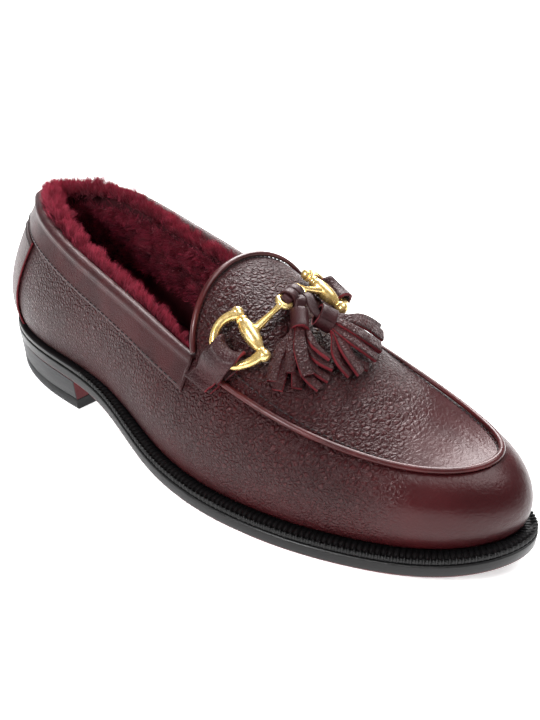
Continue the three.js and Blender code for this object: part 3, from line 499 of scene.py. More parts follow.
def paint(red, green, blue):
    """A colour given as it looks on screen, 0 to 255, in the linear values that light needs."""
    shares = [c / 255 for c in (red, green, blue)]
    return (*[c / 12.92 if c <= 0.04045 else ((c + 0.055) / 1.055) ** 2.4 for c in shares], 1.0)


print("oxblood in linear light:", [round(c, 3) for c in paint(75, 35, 40)])

# %% [markdown]
# ## Grained calf
# Tumbled calf is a net of small pillows with fine pores over them. Cells measured by their distance to an
# edge give the pillows; a noise that moves the cells keeps them from looking cut. The hollows between the
# pillows are coloured darker as painted shade. The toe is boarded smooth, so the mesh carries a value named
# grain that fades the pillows and their painted shade out there.

# %% Leathers


LEATHER_SHINE = (1.0, 0.82, 0.82, 1.0)


def grained_leather(name, dark, light, cell=1.5, depth=0.26, polish=0.3):
    s = Shader(name)
    grain = s.mark("grain")
    warped = s.place.moved(s.noise(3.4, output=1), 1.8 * MM).moved(s.noise(1.1, output=1), 0.5 * MM)
    pillow = s.cells(cell, warped.stretched(1.0, 0.66, 1.0)).between(0.0, 0.34)
    small = s.cells(cell * 0.5, warped).between(0.0, 0.42)
    pore = s.noise(0.35, detail=2.0)
    wave = s.noise(6.0, s.place.moved(s.noise(9.0, output=1), 5 * MM), detail=4.0)
    fold = s.noise(3.0, s.place.stretched(1.0, 0.25, 0.8), detail=3.0)
    height = grain * (pillow * 0.62 + small * 0.2 + fold * 0.55) + pore * 0.04 + wave * 0.25
    normal = s.bump(height, depth)
    patchy = s.noise(26.0, detail=2.0).between(0.3, 0.7)
    # Painted shade: the hollows between the pillows are coloured darker and the pillow tops lighter; on the
    # smooth toe the mix is held at one middle level.
    wear_and_pebble_shade = (1 - grain) * 0.7 + grain * (pillow * 0.8 + small * 0.2)
    colour = s.mix((0.35 + 0.65 * wear_and_pebble_shade) * (0.6 + 0.4 * patchy), dark, light)
    rough = polish + 0.05 * pore + 0.16 * (1 - pillow) * grain
    return s.surface(Base_Color=colour, Roughness=rough, Normal=normal, Specular_IOR_Level=0.3,
                     Specular_Tint=LEATHER_SHINE)


def smooth_leather(name, dark, light, rough=0.36, coat=0.2, grain=0.7, depth=0.08):
    s = Shader(name)
    fine = s.cells(grain, s.place.moved(s.noise(1.0, output=1), 0.5 * MM)).between(0.0, 0.3)
    pore = s.noise(0.4, detail=2.0)
    cloud = s.noise(12.0, detail=4.0).between(0.3, 0.7)
    normal = s.bump(fine * 0.6 + pore * 0.5 + cloud * 0.4, depth)
    colour = s.mix(cloud * 0.6 + pore * 0.2, dark, light)
    return s.surface(Base_Color=colour, Roughness=rough + 0.1 * pore, Normal=normal, Specular_IOR_Level=0.28,
                     Specular_Tint=LEATHER_SHINE, Coat_Weight=coat, Coat_Roughness=0.2)


calf = grained_leather("oxblood grained calf", paint(22, 4, 6), paint(62, 17, 20), cell=1.8, depth=1.0)
counter_calf = grained_leather("heel calf", paint(26, 6, 8), paint(60, 20, 22), cell=1.7, depth=0.55)
tassel_calf = grained_leather("tassel calf", paint(26, 7, 9), paint(68, 28, 30), cell=1.4, depth=0.6)
band_calf = smooth_leather("collar calf", paint(40, 12, 15), paint(64, 23, 26), coat=0.1, depth=0.16)
strap_calf = smooth_leather("strap calf", paint(32, 11, 14), paint(60, 25, 28), rough=0.36, coat=0.05,
                            grain=1.4, depth=0.3)
wrap_calf = smooth_leather("wrap calf", paint(32, 10, 13), paint(58, 22, 26), rough=0.4, coat=0.05)
cord_calf = smooth_leather("piping calf", paint(50, 13, 15), paint(82, 30, 31), rough=0.26, coat=0.25,
                           depth=0.04)
lining_calf = smooth_leather("lining calf", paint(56, 16, 22), paint(84, 28, 36), rough=0.5, coat=0.0)
sock_calf = smooth_leather("sock calf", paint(76, 24, 34), paint(110, 40, 52), rough=0.42, coat=0.1)
cut_edge = smooth_leather("cut edge", paint(78, 16, 24), paint(122, 36, 44), rough=0.7, coat=0.0)
red_sole = smooth_leather("red sole", paint(70, 8, 16), paint(98, 16, 26), rough=0.4)
print("leathers:", len(bpy.data.materials))

# %% [markdown]
# ## Sole, thread, gold and pile
# The edge of a leather sole is inked and burnished: nearly black, with a soft shine. Thread is matte and
# twisted. The bit is polished gold with the faintest ripple, and the pile is wine red, with painted shade that
# darkens each hair towards its root.

# %% Other materials


def edge_ink(name, colour, rough, wear=0.3):
    s = Shader(name)
    layers = s.noise(1.0, s.place.stretched(0.15, 0.15, 1.4), detail=3.0)
    normal = s.bump(layers + s.noise(0.6), 0.05)
    lighter = tuple(min(1, c * 2.2 + 0.004) for c in colour[:3]) + (1.0,)
    return s.surface(Base_Color=s.mix(layers * wear, colour, lighter), Roughness=rough + 0.15 * layers,
                     Normal=normal, Specular_IOR_Level=0.35)


def polished_gold():
    s = Shader("polished gold")
    ripple = s.bump(s.noise(5.0, detail=1.0), 0.06)
    # In the gold this noise is only rubbed wear, patches of a paler gold.
    wear_and_pebble_shade = s.noise(2.0).between(0.4, 0.7)
    colour = s.mix(wear_and_pebble_shade, (0.90, 0.62, 0.22, 1), (0.98, 0.74, 0.34, 1))
    return s.surface(Base_Color=colour, Metallic=0.82, Roughness=0.24 + 0.05 * wear_and_pebble_shade, Normal=ripple)


def twisted_thread():
    s = Shader("black thread")
    twist = s.noise(0.25, detail=1.0)
    colour = s.mix(twist, paint(12, 9, 10), paint(40, 30, 32))
    return s.surface(Base_Color=colour, Roughness=0.55 + 0.2 * twist, Normal=s.bump(twist, 0.05))


def wine_pile(name, root, tip):
    s = Shader(name)
    height, clump = s.mark("pile"), s.noise(4.0, detail=3.0).between(0.3, 0.7)
    # Painted shade: each hair runs from the dark root colour at its foot to the light tip colour, darker where
    # the pile shades itself.
    colour = s.mix(height * (0.6 + 0.4 * clump), root, tip)
    return s.surface(Base_Color=colour, Roughness=0.72 + 0.1 * clump, Sheen_Weight=0.35, Sheen_Roughness=0.4,
                     Sheen_Tint=(0.9, 0.35, 0.4, 1), Specular_IOR_Level=0.25)


def studio_floor():
    s = Shader("white sweep")
    cloud = s.noise(300.0, detail=1.0)
    return s.surface(Base_Color=s.mix(cloud, (0.93, 0.93, 0.93, 1), (0.95, 0.95, 0.95, 1)),
                     Roughness=0.85 + 0.05 * cloud, Normal=s.bump(cloud, 0.01),
                     Emission_Color=(1, 1, 1, 1), Emission_Strength=0.6)


black_edge = edge_ink("black sole edge", paint(12, 11, 12), 0.3)
heel_ink = edge_ink("heel ink", paint(32, 32, 34), 0.38)
lift_rubber = edge_ink("top lift", paint(24, 24, 25), 0.5)
gold, thread = polished_gold(), twisted_thread()
pile = wine_pile("wine pile", paint(56, 8, 20), paint(205, 70, 96))
# The pad stands for the hide under the hairs; its colours are darker than the hairs', painted shade for the
# depth of the pile.
pile_pad = wine_pile("pile pad", paint(40, 5, 12), paint(120, 20, 40))
sweep = studio_floor()
print("materials:", len(bpy.data.materials))

# %% [markdown]
# ## The sole
# A flat ring of points round the plan, repeated at a few heights, makes any layer of the sole. The side rows
# close round the lap and each end face is filled by strips from the outer edge to the inner one.

# %% Layers of the sole


def slab(levels, laps, dents=None, side_mark=0, top_mark=0, bottom_mark=0):
    """A layer from (inset, height) levels, where height is a function of x. Faces: bottom, side, top."""
    sheet = Sheet()
    turn, side = split_lap(laps)
    rings = []
    for i, (inset, height) in enumerate(levels):
        depth = inset if dents is None else inset + dents[i]
        plan = inset_outline(turn, side, depth)
        rings.append(sheet.add(np.column_stack([plan, height(plan[:, 0])])))
    sheet.grid(np.array(rings).T, close_rows=True, mark=side_mark)
    half = len(laps) // 2
    for ring, mark, flip in ((rings[0], bottom_mark, True), (rings[-1], top_mark, False)):
        outer, inner = ring[: half + 1], np.concatenate([ring[:1], ring[half:][::-1]])
        pair = np.stack([outer, inner], 1)
        sheet.grid(pair if flip else pair[:, ::-1], mark=mark)
    return sheet


def even_laps(count):
    return np.linspace(0, 2, count, endpoint=False)


def above(base, rise):
    """A height that stays `rise` over another one."""

    def height(x):
        return base(x) + rise

    return height


BEVEL = 0.8
SOLE_LAPS, RED_RINGS = 720, 4
outsole = slab(
    [
        (3.0, underside), (BEVEL * 0.8, underside), (BEVEL * 0.3, above(underside, BEVEL * 0.5)),
        (0, above(underside, BEVEL * 1.2)), (0, above(outsole_top, -BEVEL)),
        (BEVEL * 0.2, above(outsole_top, -BEVEL * 0.25)), (BEVEL, outsole_top), (3.0, outsole_top),
    ],
    even_laps(SOLE_LAPS), side_mark=0, bottom_mark=1,
)
outsole.marks = [1 if max(face) < SOLE_LAPS * RED_RINGS else mark
                 for face, mark in zip(outsole.faces, outsole.marks)]
dress("sole_leather", outsole, [black_edge, red_sole], ["outsole"])

# %% [markdown]
# ## The welt and its wheeled ribs
# In the forepart the welt is wheeled: a hot toothed wheel presses even ribs into its edge. The ribs here are
# ripples in the plan and in the top face, counted along the real length of the edge.

# %% Ribbed welt
RIB_PITCH, RIB_DEPTH = 2.2, 0.9
RIBS_FROM = 92.0
welt_laps = even_laps(3600)
welt_edge = outline(*split_lap(welt_laps))
run = np.concatenate([[0], np.cumsum(np.linalg.norm(np.diff(welt_edge, axis=0), axis=1))])
wave = 0.5 - 0.5 * np.cos(2 * math.pi * run / RIB_PITCH)
wave = (1 - wave**2) * smoothstep(welt_edge[:, 0], RIBS_FROM, RIBS_FROM + 12)
welt_turn, welt_side = split_lap(welt_laps)


def welt_ring(sheet, inset, base, dent, dip):
    plan = inset_outline(welt_turn, welt_side, inset + dent * wave)
    return sheet.add(np.column_stack([plan, base(plan[:, 0]) - dip * wave]))


welt = Sheet()
welt_rows = [
    welt_ring(welt, WELT_REACH + 2, above(outsole_top, GAP), 0, 0),
    welt_ring(welt, 0.9, above(outsole_top, GAP), 0, 0),
    welt_ring(welt, 0.4, above(outsole_top, GAP + 0.25), 0.2, 0),
    welt_ring(welt, 0.25, above(outsole_top, 1.2), RIB_DEPTH, 0),
    welt_ring(welt, 0.3, above(welt_top, -0.7), RIB_DEPTH, 0.1),
    welt_ring(welt, 0.6, above(welt_top, -0.15), RIB_DEPTH * 0.8, 0.8),
    welt_ring(welt, 1.1, welt_top, 0, 1.1),
    welt_ring(welt, 2.4, welt_top, 0, 1.1),
    welt_ring(welt, 3.1, above(welt_top, -0.2), 0, 0.4),
    welt_ring(welt, WELT_REACH + 2, above(welt_top, -0.1), 0, 0),
]
welt.grid(np.array(welt_rows + welt_rows[:1]).T, close_rows=True)
dress("wheeled_welt", welt, [black_edge], ["welt"])

# %% [markdown]
# ## Heel and insole
# The heel is a stack that follows the seat, cut straight across at its breast, with a thin top lift under it.

# %% Heel and insole
HEEL_LENGTH, HEEL_TAPER, LIFT = 90.0, 1.0, 5.5


def heel_block(levels, count=150):
    """A block under the seat from (inset, height) levels, closed by its breast."""
    sheet = Sheet()
    last = turn_of(HEEL_LENGTH / SOLE_LENGTH)
    turns = np.concatenate([np.linspace(last, 0, count), np.linspace(0, last, count)[1:]])
    sides = np.concatenate([np.ones(count), -np.ones(count - 1)])
    rings = []
    for inset, height in levels:
        plan = inset_outline(turns, sides, inset)
        rings.append(sheet.add(np.column_stack([plan, height(plan[:, 0])])))
    sheet.grid(np.array(rings).T)
    breast = np.array([[ring[-1], ring[0]] for ring in rings])
    sheet.grid(breast.T, mark=1)
    for ring, flip in ((rings[0], True), (rings[-1], False)):
        pair = np.stack([ring[:count][::-1], ring[count - 1 :]], 1)
        sheet.grid(pair[:, ::-1] if flip else pair)
    return sheet


def level(z):
    def height(x):
        return np.full_like(x, z)

    return height


top_lift = heel_block([(HEEL_TAPER + 0.4, level(0.0)), (HEEL_TAPER, level(0.4)),
                       (HEEL_TAPER, level(LIFT - 0.6)),
                       (HEEL_TAPER + 0.4, level(LIFT - GAP))])
dress("heel_tip", top_lift, [lift_rubber, lift_rubber], ["top_lift"])
heel = heel_block([
    (HEEL_TAPER + 0.4, level(LIFT)), (HEEL_TAPER * 0.9, level(LIFT + 0.5)),
    (HEEL_TAPER * 0.3, above(underside, -GAP - 0.7)), (0.5, above(underside, -GAP)),
])
dress("heel_block", heel, [heel_ink, red_sole], ["heel_stack"])


def insole_height(lift):
    return above(welt_top, GAP + lift)


insole_turn, _ = split_lap(even_laps(360))
insole_inset = reach(insole_turn) + WALL + 0.8
insole = slab([(insole_inset + 1, insole_height(0)), (insole_inset, insole_height(0.6)),
               (insole_inset, insole_height(INSOLE - 0.7)), (insole_inset + 1.2, insole_height(INSOLE))],
              even_laps(360))
dress("sock", insole, [sock_calf], ["insole"])

# %% [markdown]
# ## The upper
# The upper is one sheet: a wall of columns round the last, and over the instep an apron of rows that share
# the wall's top points. It is given the leather's thickness after the creases are pressed in.

# %% The sheet of the upper
COLUMNS, WALL_ROWS, APRON_PARTS, BOW_ROWS = 256, 44, 72, 8
JOIN = int(COLUMNS * JUNCTION)
upper = Sheet()
upper_laps = even_laps(2 * COLUMNS)
wall_shares = np.linspace(0, 1, WALL_ROWS + 1)
wall, wall_lengths = wall_points(upper_laps, wall_shares)
wall_rows = upper.add(wall)
upper.grid(wall_rows, close_rows=True)
across_steps = np.sin(np.linspace(-math.pi / 2, math.pi / 2, APRON_PARTS + 1))


def apron_row(k, bow=0.0):
    inner = upper.add(apron_point(k / COLUMNS, across_steps[1:-1], bow))
    outer_edge, inner_edge = wall_rows[k, -1], wall_rows[(-k) % (2 * COLUMNS), -1]
    return np.concatenate([[outer_edge], inner, [inner_edge]])


tongue_rows = [apron_row(JOIN, bow) for bow in np.linspace(1, 0, BOW_ROWS + 1)]
apron_rows = [apron_row(k) for k in range(JOIN + 1, COLUMNS)]
toe_row = np.full(APRON_PARTS + 1, wall_rows[COLUMNS, -1])
upper.grid(np.array([*tongue_rows, *apron_rows, toe_row]))
upper.faces = [face for face in upper.faces if len(set(face)) > 2]
print("upper sheet:", len(upper.points), "points,", len(upper.faces), "faces")

# %% [markdown]
# ## Wear creases
# A loafer bends where the toes lift, so folds run across the apron behind the toe cap, and short gathers hang
# down the wall from the seam. Each fold is listed: where it starts and ends, how it bows, its depth.

# %% Folds pressed into the sheet
APRON_FOLDS = [
    # x and across at the start, at the end, bow ahead in mm, half width and depth in mm (a ridge is negative)
    (213, -0.75, 219, 0.20, 3.0, 1.7, 0.55), (218, -0.80, 226, 0.35, 3.5, 2.4, -0.35),
    (222, -0.72, 231, 0.30, 4.0, 1.6, 0.50), (228, -0.60, 239, 0.45, 3.0, 2.2, -0.30),
    (233, -0.55, 243, 0.40, 3.0, 1.5, 0.40), (203, -0.85, 207, -0.10, 1.5, 1.6, 0.40),
    (196, -0.88, 199, -0.35, 1.0, 1.4, 0.30), (208, -0.90, 212, -0.30, 1.0, 2.0, -0.25),
    (224, 0.30, 214, 0.85, 2.0, 1.8, 0.45), (236, 0.35, 228, 0.85, 2.0, 1.8, 0.35),
    (243, -0.60, 250, 0.20, 2.0, 1.6, 0.22),
]
WALL_FOLDS = [
    # lap and height share at the top, at the bottom, half width and depth in mm
    (0.595, 0.97, 0.590, 0.72, 1.5, 0.45), (0.607, 0.97, 0.604, 0.66, 1.8, -0.35),
    (0.618, 0.98, 0.614, 0.62, 1.5, 0.50), (0.632, 0.98, 0.629, 0.64, 1.8, -0.35),
    (0.645, 0.98, 0.643, 0.60, 1.5, 0.45), (0.660, 0.98, 0.659, 0.66, 1.6, -0.25),
    (0.675, 0.98, 0.676, 0.66, 1.4, 0.35), (0.692, 0.98, 0.696, 0.70, 1.4, 0.25),
    (0.540, 0.80, 0.520, 0.35, 2.4, 0.40), (0.560, 0.86, 0.545, 0.40, 2.2, -0.30),
    (0.480, 0.70, 0.465, 0.20, 3.0, 0.35), (0.430, 0.62, 0.415, 0.18, 3.0, -0.25),
    (1.400, 0.97, 1.402, 0.65, 1.6, 0.40), (1.380, 0.97, 1.380, 0.62, 1.6, 0.40),
    (1.360, 0.97, 1.358, 0.66, 1.6, 0.40), (1.340, 0.97, 1.336, 0.70, 1.6, 0.30),
]


def fold_line(start, end, samples=28):
    return start + (end - start) * np.linspace(0, 1, samples)


def press(points, normals, line, width, depth):
    """Moves the points near a line along their normals; the fold fades out at both its ends."""
    box_low, box_high = line.min(0) - 4 * width, line.max(0) + 4 * width
    near = np.all((points > box_low) & (points < box_high), axis=1).nonzero()[0]
    away = np.linalg.norm(points[near, None, :] - line[None], axis=2)
    closest, at = away.min(1), away.argmin(1) / (len(line) - 1)
    fade = np.sin(math.pi * np.clip(at, 0.02, 0.98)) ** 0.6
    points[near] -= normals[near] * (depth * fade * np.exp(-((closest / width) ** 2)))[:, None]


folded = upper.points.copy()
flat_normals = upper.normals()
for x0, a0, x1, a1, bow, width, depth in APRON_FOLDS:
    share = np.linspace(0, 1, 28)
    xs = x0 + (x1 - x0) * share + bow * 4 * share * (1 - share)
    acrosses = a0 + (a1 - a0) * share
    line = np.array([apron_point(apron_turn(x), a) for x, a in zip(xs, acrosses)])
    press(folded, flat_normals, line, width, depth)
for lap0, high, lap1, low, width, depth in WALL_FOLDS:
    laps, heights = fold_line(lap0, lap1), fold_line(high, low)
    line = np.array([wall_points(np.array([lap]), [h])[0][0, 0] for lap, h in zip(laps, heights)])
    press(folded, flat_normals, line, width, depth)
upper.points = folded
upper_normals = upper.normals()
print("folds:", len(APRON_FOLDS) + len(WALL_FOLDS))

# %% [markdown]
# ## Where the grain fades
# The toe is polished smooth and the rest keeps its pebbles, so each point carries a grain value from 0 to 1.

# %% Grain values and the finished upper


def grain_of(points):
    x = points[:, 0] + 0.35 * (points[:, 1] - 8)
    toe = 1 - smoothstep(x, 226.0, 256.0)
    drop = points[:, 2] - welt_top(points[:, 0])
    low = smoothstep(drop, 6.0, 22.0)
    forward = smoothstep(points[:, 0], 60.0, 190.0)
    calm = 1 - 0.65 * forward * (1 - low)
    return 0.05 + 0.95 * toe * calm


front = len(upper.points)
skin_points = upper.points.copy()
upper.thicken(WALL, edge_mark=1, back_mark=1)
dress("calf_upper", upper, [calf, lining_calf], ["upper"],
      values={"grain": np.tile(grain_of(skin_points), 2)})


# %% [markdown]
# ## Finding a place on the leather
# Every small part is set by a place on the skin: a lap and a height on the wall, or an x and a girth, the
# length of leather up from the seam. A lift is how far the place stands off the surface.

# %% Places on the skin


def lifted(index, lift):
    lift = np.asarray(lift, float)
    return skin_points[index] + upper_normals[index] * (lift[..., None] if lift.ndim else lift)


def wall_place(lap, share, lift=0.0):
    """A point over the wall at a lap and a height share, read from the finished sheet."""
    lap = np.atleast_1d(np.asarray(lap, float)) % 2
    share = np.broadcast_to(np.asarray(share, float), lap.shape)
    lift = np.broadcast_to(np.asarray(lift, float), lap.shape)
    c, r = lap * COLUMNS, np.clip(share, 0, 1) * WALL_ROWS
    c0, r0 = np.floor(c).astype(int), np.minimum(np.floor(r).astype(int), WALL_ROWS - 1)
    fc, fr = (c - c0)[:, None], (r - r0)[:, None]
    total = 0
    for dc, wc in ((0, 1 - fc), (1, fc)):
        for dr, wr in ((0, 1 - fr), (1, fr)):
            index = wall_rows[(c0 + dc) % (2 * COLUMNS), r0 + dr]
            total = total + wc * wr * (skin_points[index] + upper_normals[index] * lift[:, None])
    return total


def cross_curve(x, side, samples=48):
    across = side * np.cos(np.linspace(0, math.pi, samples + 1))
    points = apron_point(np.full(samples + 1, float(apron_turn(x))), across)
    return points, np.concatenate([[0], np.cumsum(np.linalg.norm(np.diff(points, axis=0), axis=1))])


def skin_point(x, girth, side):
    if girth < 0:
        turn = float(apron_turn(x))
        lap = turn if side < 0 else 2 - turn
        points, lengths = wall_points(np.array([lap]), wall_shares)
        run = wall_shares * lengths[0]
        return np.array([np.interp(lengths[0] + girth, run, points[0, :, axis]) for axis in range(3)])
    points, run = cross_curve(x, side)
    return np.array([np.interp(girth, run, points[:, axis]) for axis in range(3)])


def skin_normal(x, girth, side, step=0.8):
    along = skin_point(x + step, girth, side) - skin_point(x - step, girth, side)
    up = skin_point(x, girth + step, side) - skin_point(x, girth - step, side)
    return unit(-side * np.cross(along, up))


def raised(x, girth, side, lift):
    return skin_point(x, girth, side) + skin_normal(x, girth, side) * lift


MIDDLE = cross_curve(191.0, -1)[1][-1] / 2
print("half the girth over the instep:", round(float(MIDDLE), 2), "mm")

# %% [markdown]
# ## Bars and cords
# A bar is a section swept along a path, with its own width and height at each step. Piping, wire, thongs,
# thread and strips are all bars, so one helper serves them all.

# %% Bars along a path


def smooth_path(points, count):
    """More points along a path through the given ones, evenly spaced, as a flowing curve."""
    points = np.asarray(points, float)
    knots = np.concatenate([[0], np.cumsum(np.linalg.norm(np.diff(points, axis=0), axis=1))])
    curves = [Spline(knots, points[:, axis], flat=False) for axis in range(points.shape[1])]
    return np.stack([curve(np.linspace(0, knots[-1], count)) for curve in curves], -1)


def circle(sides, squash=1.0):
    angles = np.linspace(0, 2 * math.pi, sides, endpoint=False)
    return np.stack([np.cos(angles), np.sin(angles) * squash], -1)


def rounded_flat():
    """A flat strip's section with soft corners."""
    return np.array([(-1, -0.4), (-0.9, -0.9), (-0.5, -1), (0.5, -1), (0.9, -0.9), (1, -0.4), (1, 0.4),
                     (0.9, 0.9), (0.5, 1), (-0.5, 1), (-0.9, 0.9), (-1, 0.4)])


def bar(sheet, path, ups, wide, tall, section, closed=False, mark=0, marks=None, caps=True):
    path, ups = np.asarray(path, float), np.broadcast_to(np.asarray(ups, float), np.shape(path))
    count = len(path)
    wide, tall = (np.broadcast_to(np.asarray(v, float), (count,)) for v in (wide, tall))
    if closed:
        along = np.roll(path, -1, 0) - np.roll(path, 1, 0)
    else:
        along = np.gradient(path, axis=0)
    along = unit(along)
    across = unit(np.cross(ups, along))
    up = np.cross(along, across)
    ring = (path[:, None] + across[:, None] * (wide[:, None] * section[:, 0])[..., None]
            + up[:, None] * (tall[:, None] * section[:, 1])[..., None])
    rows = sheet.add(ring)
    before = len(sheet.faces)
    sheet.grid(rows, close_rows=closed, close_columns=True, mark=mark)
    if marks is not None:
        for i in range(before, len(sheet.faces)):
            sheet.marks[i] = marks[(i - before) % len(section)]
    if not closed and caps:
        sheet.cap(rows[0][::-1], mark)
        sheet.cap(rows[-1], mark)
    return rows


# %% [markdown]
# ## Collar band
# The band is a smooth strip folded over the topline from strap to strap: a flat face outside, a rolled rim on
# top, and a short return inside. The rim is fuller than the face so that it catches a line of light.

# %% Collar band
BAND_LAPS = np.linspace(-(JUNCTION - 0.003), JUNCTION - 0.003, 421)
lap_height = np.interp(BAND_LAPS % 2, np.append(upper_laps, 2), np.append(wall_lengths, wall_lengths[0]))
band_foot = 1 - BAND_WIDTH / lap_height
BAND_PROFILE = [
    # share of the way up the band, lift off the wall in thicknesses of the band
    (0.0, 0.0), (0.0, 0.7), (0.03, 1.0), (0.14, 1.05), (0.4, 0.95), (0.7, 0.9), (0.82, 0.95), (0.86, 1.5),
    (0.93, 2.0), (1.0, 2.0),
]
band = Sheet()
band_rows = [band.add(wall_place(BAND_LAPS, band_foot + (1 - band_foot) * up, GAP + BAND_THICKNESS * lift))
             for up, lift in BAND_PROFILE]
top_edge = wall_place(BAND_LAPS, 1.0)
top_normal = unit(wall_place(BAND_LAPS, 1.0, 1.0) - top_edge)
for angle in np.radians([40, 75, 105, 140, 180]):
    radius = GAP + BAND_THICKNESS * 1.5 + WALL / 2
    rim = top_edge - top_normal * (WALL / 2) + top_normal * (np.cos(angle) * (radius + WALL / 2 - WALL / 2))
    rim[:, 2] += np.sin(angle) * (1.6 + GAP) + 0.25
    band_rows.append(band.add(rim))
inside = top_edge - top_normal * (WALL + GAP + BAND_THICKNESS)
inside[:, 2] -= 4.0
band_rows.append(band.add(inside))
close_in = top_edge - top_normal * (WALL + GAP)
close_in[:, 2] -= 4.0
band_rows.append(band.add(close_in))
over = top_edge.copy()
over[:, 2] += GAP
band_rows.append(band.add(over))
band.grid(np.array(band_rows).T, close_columns=True)
band.cap([row[0] for row in band_rows])
band.cap([row[-1] for row in band_rows][::-1])
dress("rolled_band", band, [band_calf], ["collar_band"])

# %% [markdown]
# ## Heel counter
# The counter wraps the back of the heel outside the wall. Its cut edge shows a thin red line.

# %% Heel counter
counter_laps = np.linspace(-0.25, 0.25, 161)
counter_top = 1 - (BAND_WIDTH + 0.8) / np.interp(
    counter_laps % 2, np.append(upper_laps, 2), np.append(wall_lengths, wall_lengths[0]))
counter_shares = np.concatenate([[0.012], np.linspace(0.03, 0.97, 30), [0.99, 1.0]])
counter = Sheet()
counter_lift = GAP + 1.2 * np.array([0.55, *[1] * 30, 0.9, 0.5])
rows = [counter.add(wall_place(counter_laps * (1.0 - 0.12 * (1 - share)), counter_top * share, lift))
        for share, lift in zip(counter_shares, counter_lift)]
counter.grid(np.array(rows).T)
counter_grain = np.full(len(counter.points), 0.55)
counter.thicken(0.9, edge_mark=1)
dress("counter_calf", counter, [counter_calf, cut_edge], ["heel_counter"],
      values={"grain": np.tile(counter_grain, 2)})

# %% [markdown]
# ## Piping and tongue binding
# A rolled cord covers the seam between apron and wall, and another binds the free edge of the tongue.

# %% Piping
CORD = np.array([(-0.32, 0), (-0.46, 0.2), (-0.5, 0.45), (-0.44, 0.7), (-0.28, 0.9), (0, 1), (0.28, 0.9),
                 (0.44, 0.7), (0.5, 0.45), (0.46, 0.2), (0.32, 0)])
seam_index = np.array([wall_rows[k % (2 * COLUMNS), -1] for k in range(JOIN + 4, 2 * COLUMNS - JOIN - 3)])
seam_path = lifted(seam_index, GAP)
seam_up = upper_normals[seam_index]
smoother = np.ones(9) / 9
seam_up = unit(np.stack([np.convolve(np.pad(seam_up[:, a], 4, mode="edge"), smoother, "valid")
                         for a in range(3)], -1))
piping = Sheet()
bar(piping, seam_path, seam_up, 2.5, 1.9, CORD)
dress("seam_piping", piping, [cord_calf], ["apron_piping"])

tongue_index = tongue_rows[0][3:-3]
binding = Sheet()
tongue_path, tongue_up = lifted(tongue_index, GAP), upper_normals[tongue_index]
bar(binding, smooth_path(tongue_path, 160), smooth_path(tongue_up, 160), 2.5, 1.9, CORD)
dress("tongue_cord", binding, [cord_calf], ["tongue_binding"])

# %% [markdown]
# ## Pile lining
# Sheepskin is a hide with hairs standing on it. A padded strip inside the collar is the hide, and tens of
# thousands of tapering blades are the hairs. Neighbours lean together, which gives the soft tufts.

# %% The pad under the pile
PILE_END = JUNCTION - 0.02
pile_laps = np.linspace(-PILE_END, PILE_END, 241)
pile_ease = smoothstep(PILE_END - np.abs(pile_laps), 0.0, 0.05)
INNER = WALL + GAP


def pad_rows(laps, thick=4.2, rise=2.6):
    """Rows of the pad from its foot inside the shoe, up its face, over the crest and down its back."""
    ease = smoothstep(PILE_END - np.abs(laps), 0.0, 0.05)
    rise = rise * (1 - smoothstep(np.abs(laps), 0.20, 0.40)) - 1.5 * smoothstep(np.abs(laps), 0.20, 0.40)
    face = ((0.36, 0.2), (0.42, 0.8), (0.5, 1), (0.6, 1), (0.7, 1), (0.82, 1.05), (0.92, 1.1))
    rows = [wall_place(laps, share, -(INNER + 1.6 + thick * bulge * (0.4 + 0.6 * ease)))
            for share, bulge in face]
    for share, bulge, up in ((1.0, 0.95, 0.6), (1.0, 0.5, 1.0), (1.0, 0.1, 0.6)):
        crest = wall_place(laps, share, -(INNER + 1.6 + thick * bulge * (0.4 + 0.6 * ease)))
        crest[:, 2] += rise * up
        rows.append(crest)
    return rows


pad = Sheet()
face_rows = pad_rows(pile_laps)
back_rows = [wall_place(pile_laps, share, -(INNER + 1.5)) for share in (0.95, 0.6, 0.36)]
all_rows = [pad.add(row) for row in face_rows + back_rows]
pad.grid(np.array(all_rows).T[:, ::-1], close_columns=True)
pad.cap([row[0] for row in all_rows][::-1])
pad.cap([row[-1] for row in all_rows])
# The pad's low pile value keeps it near its dark root colour, painted shade under the hairs.
dress("pile_pad", pad, [pile_pad], ["fur_lining"], values={"pile": np.full(len(pad.points), 0.1)})

# %% [markdown]
# ## Hairs
# Each hair is one thin blade with a bend in it. It starts on the pad, leans off it and a little upwards, and
# its tip is drawn towards the middle of its tuft.

# %% Hairs on the pad


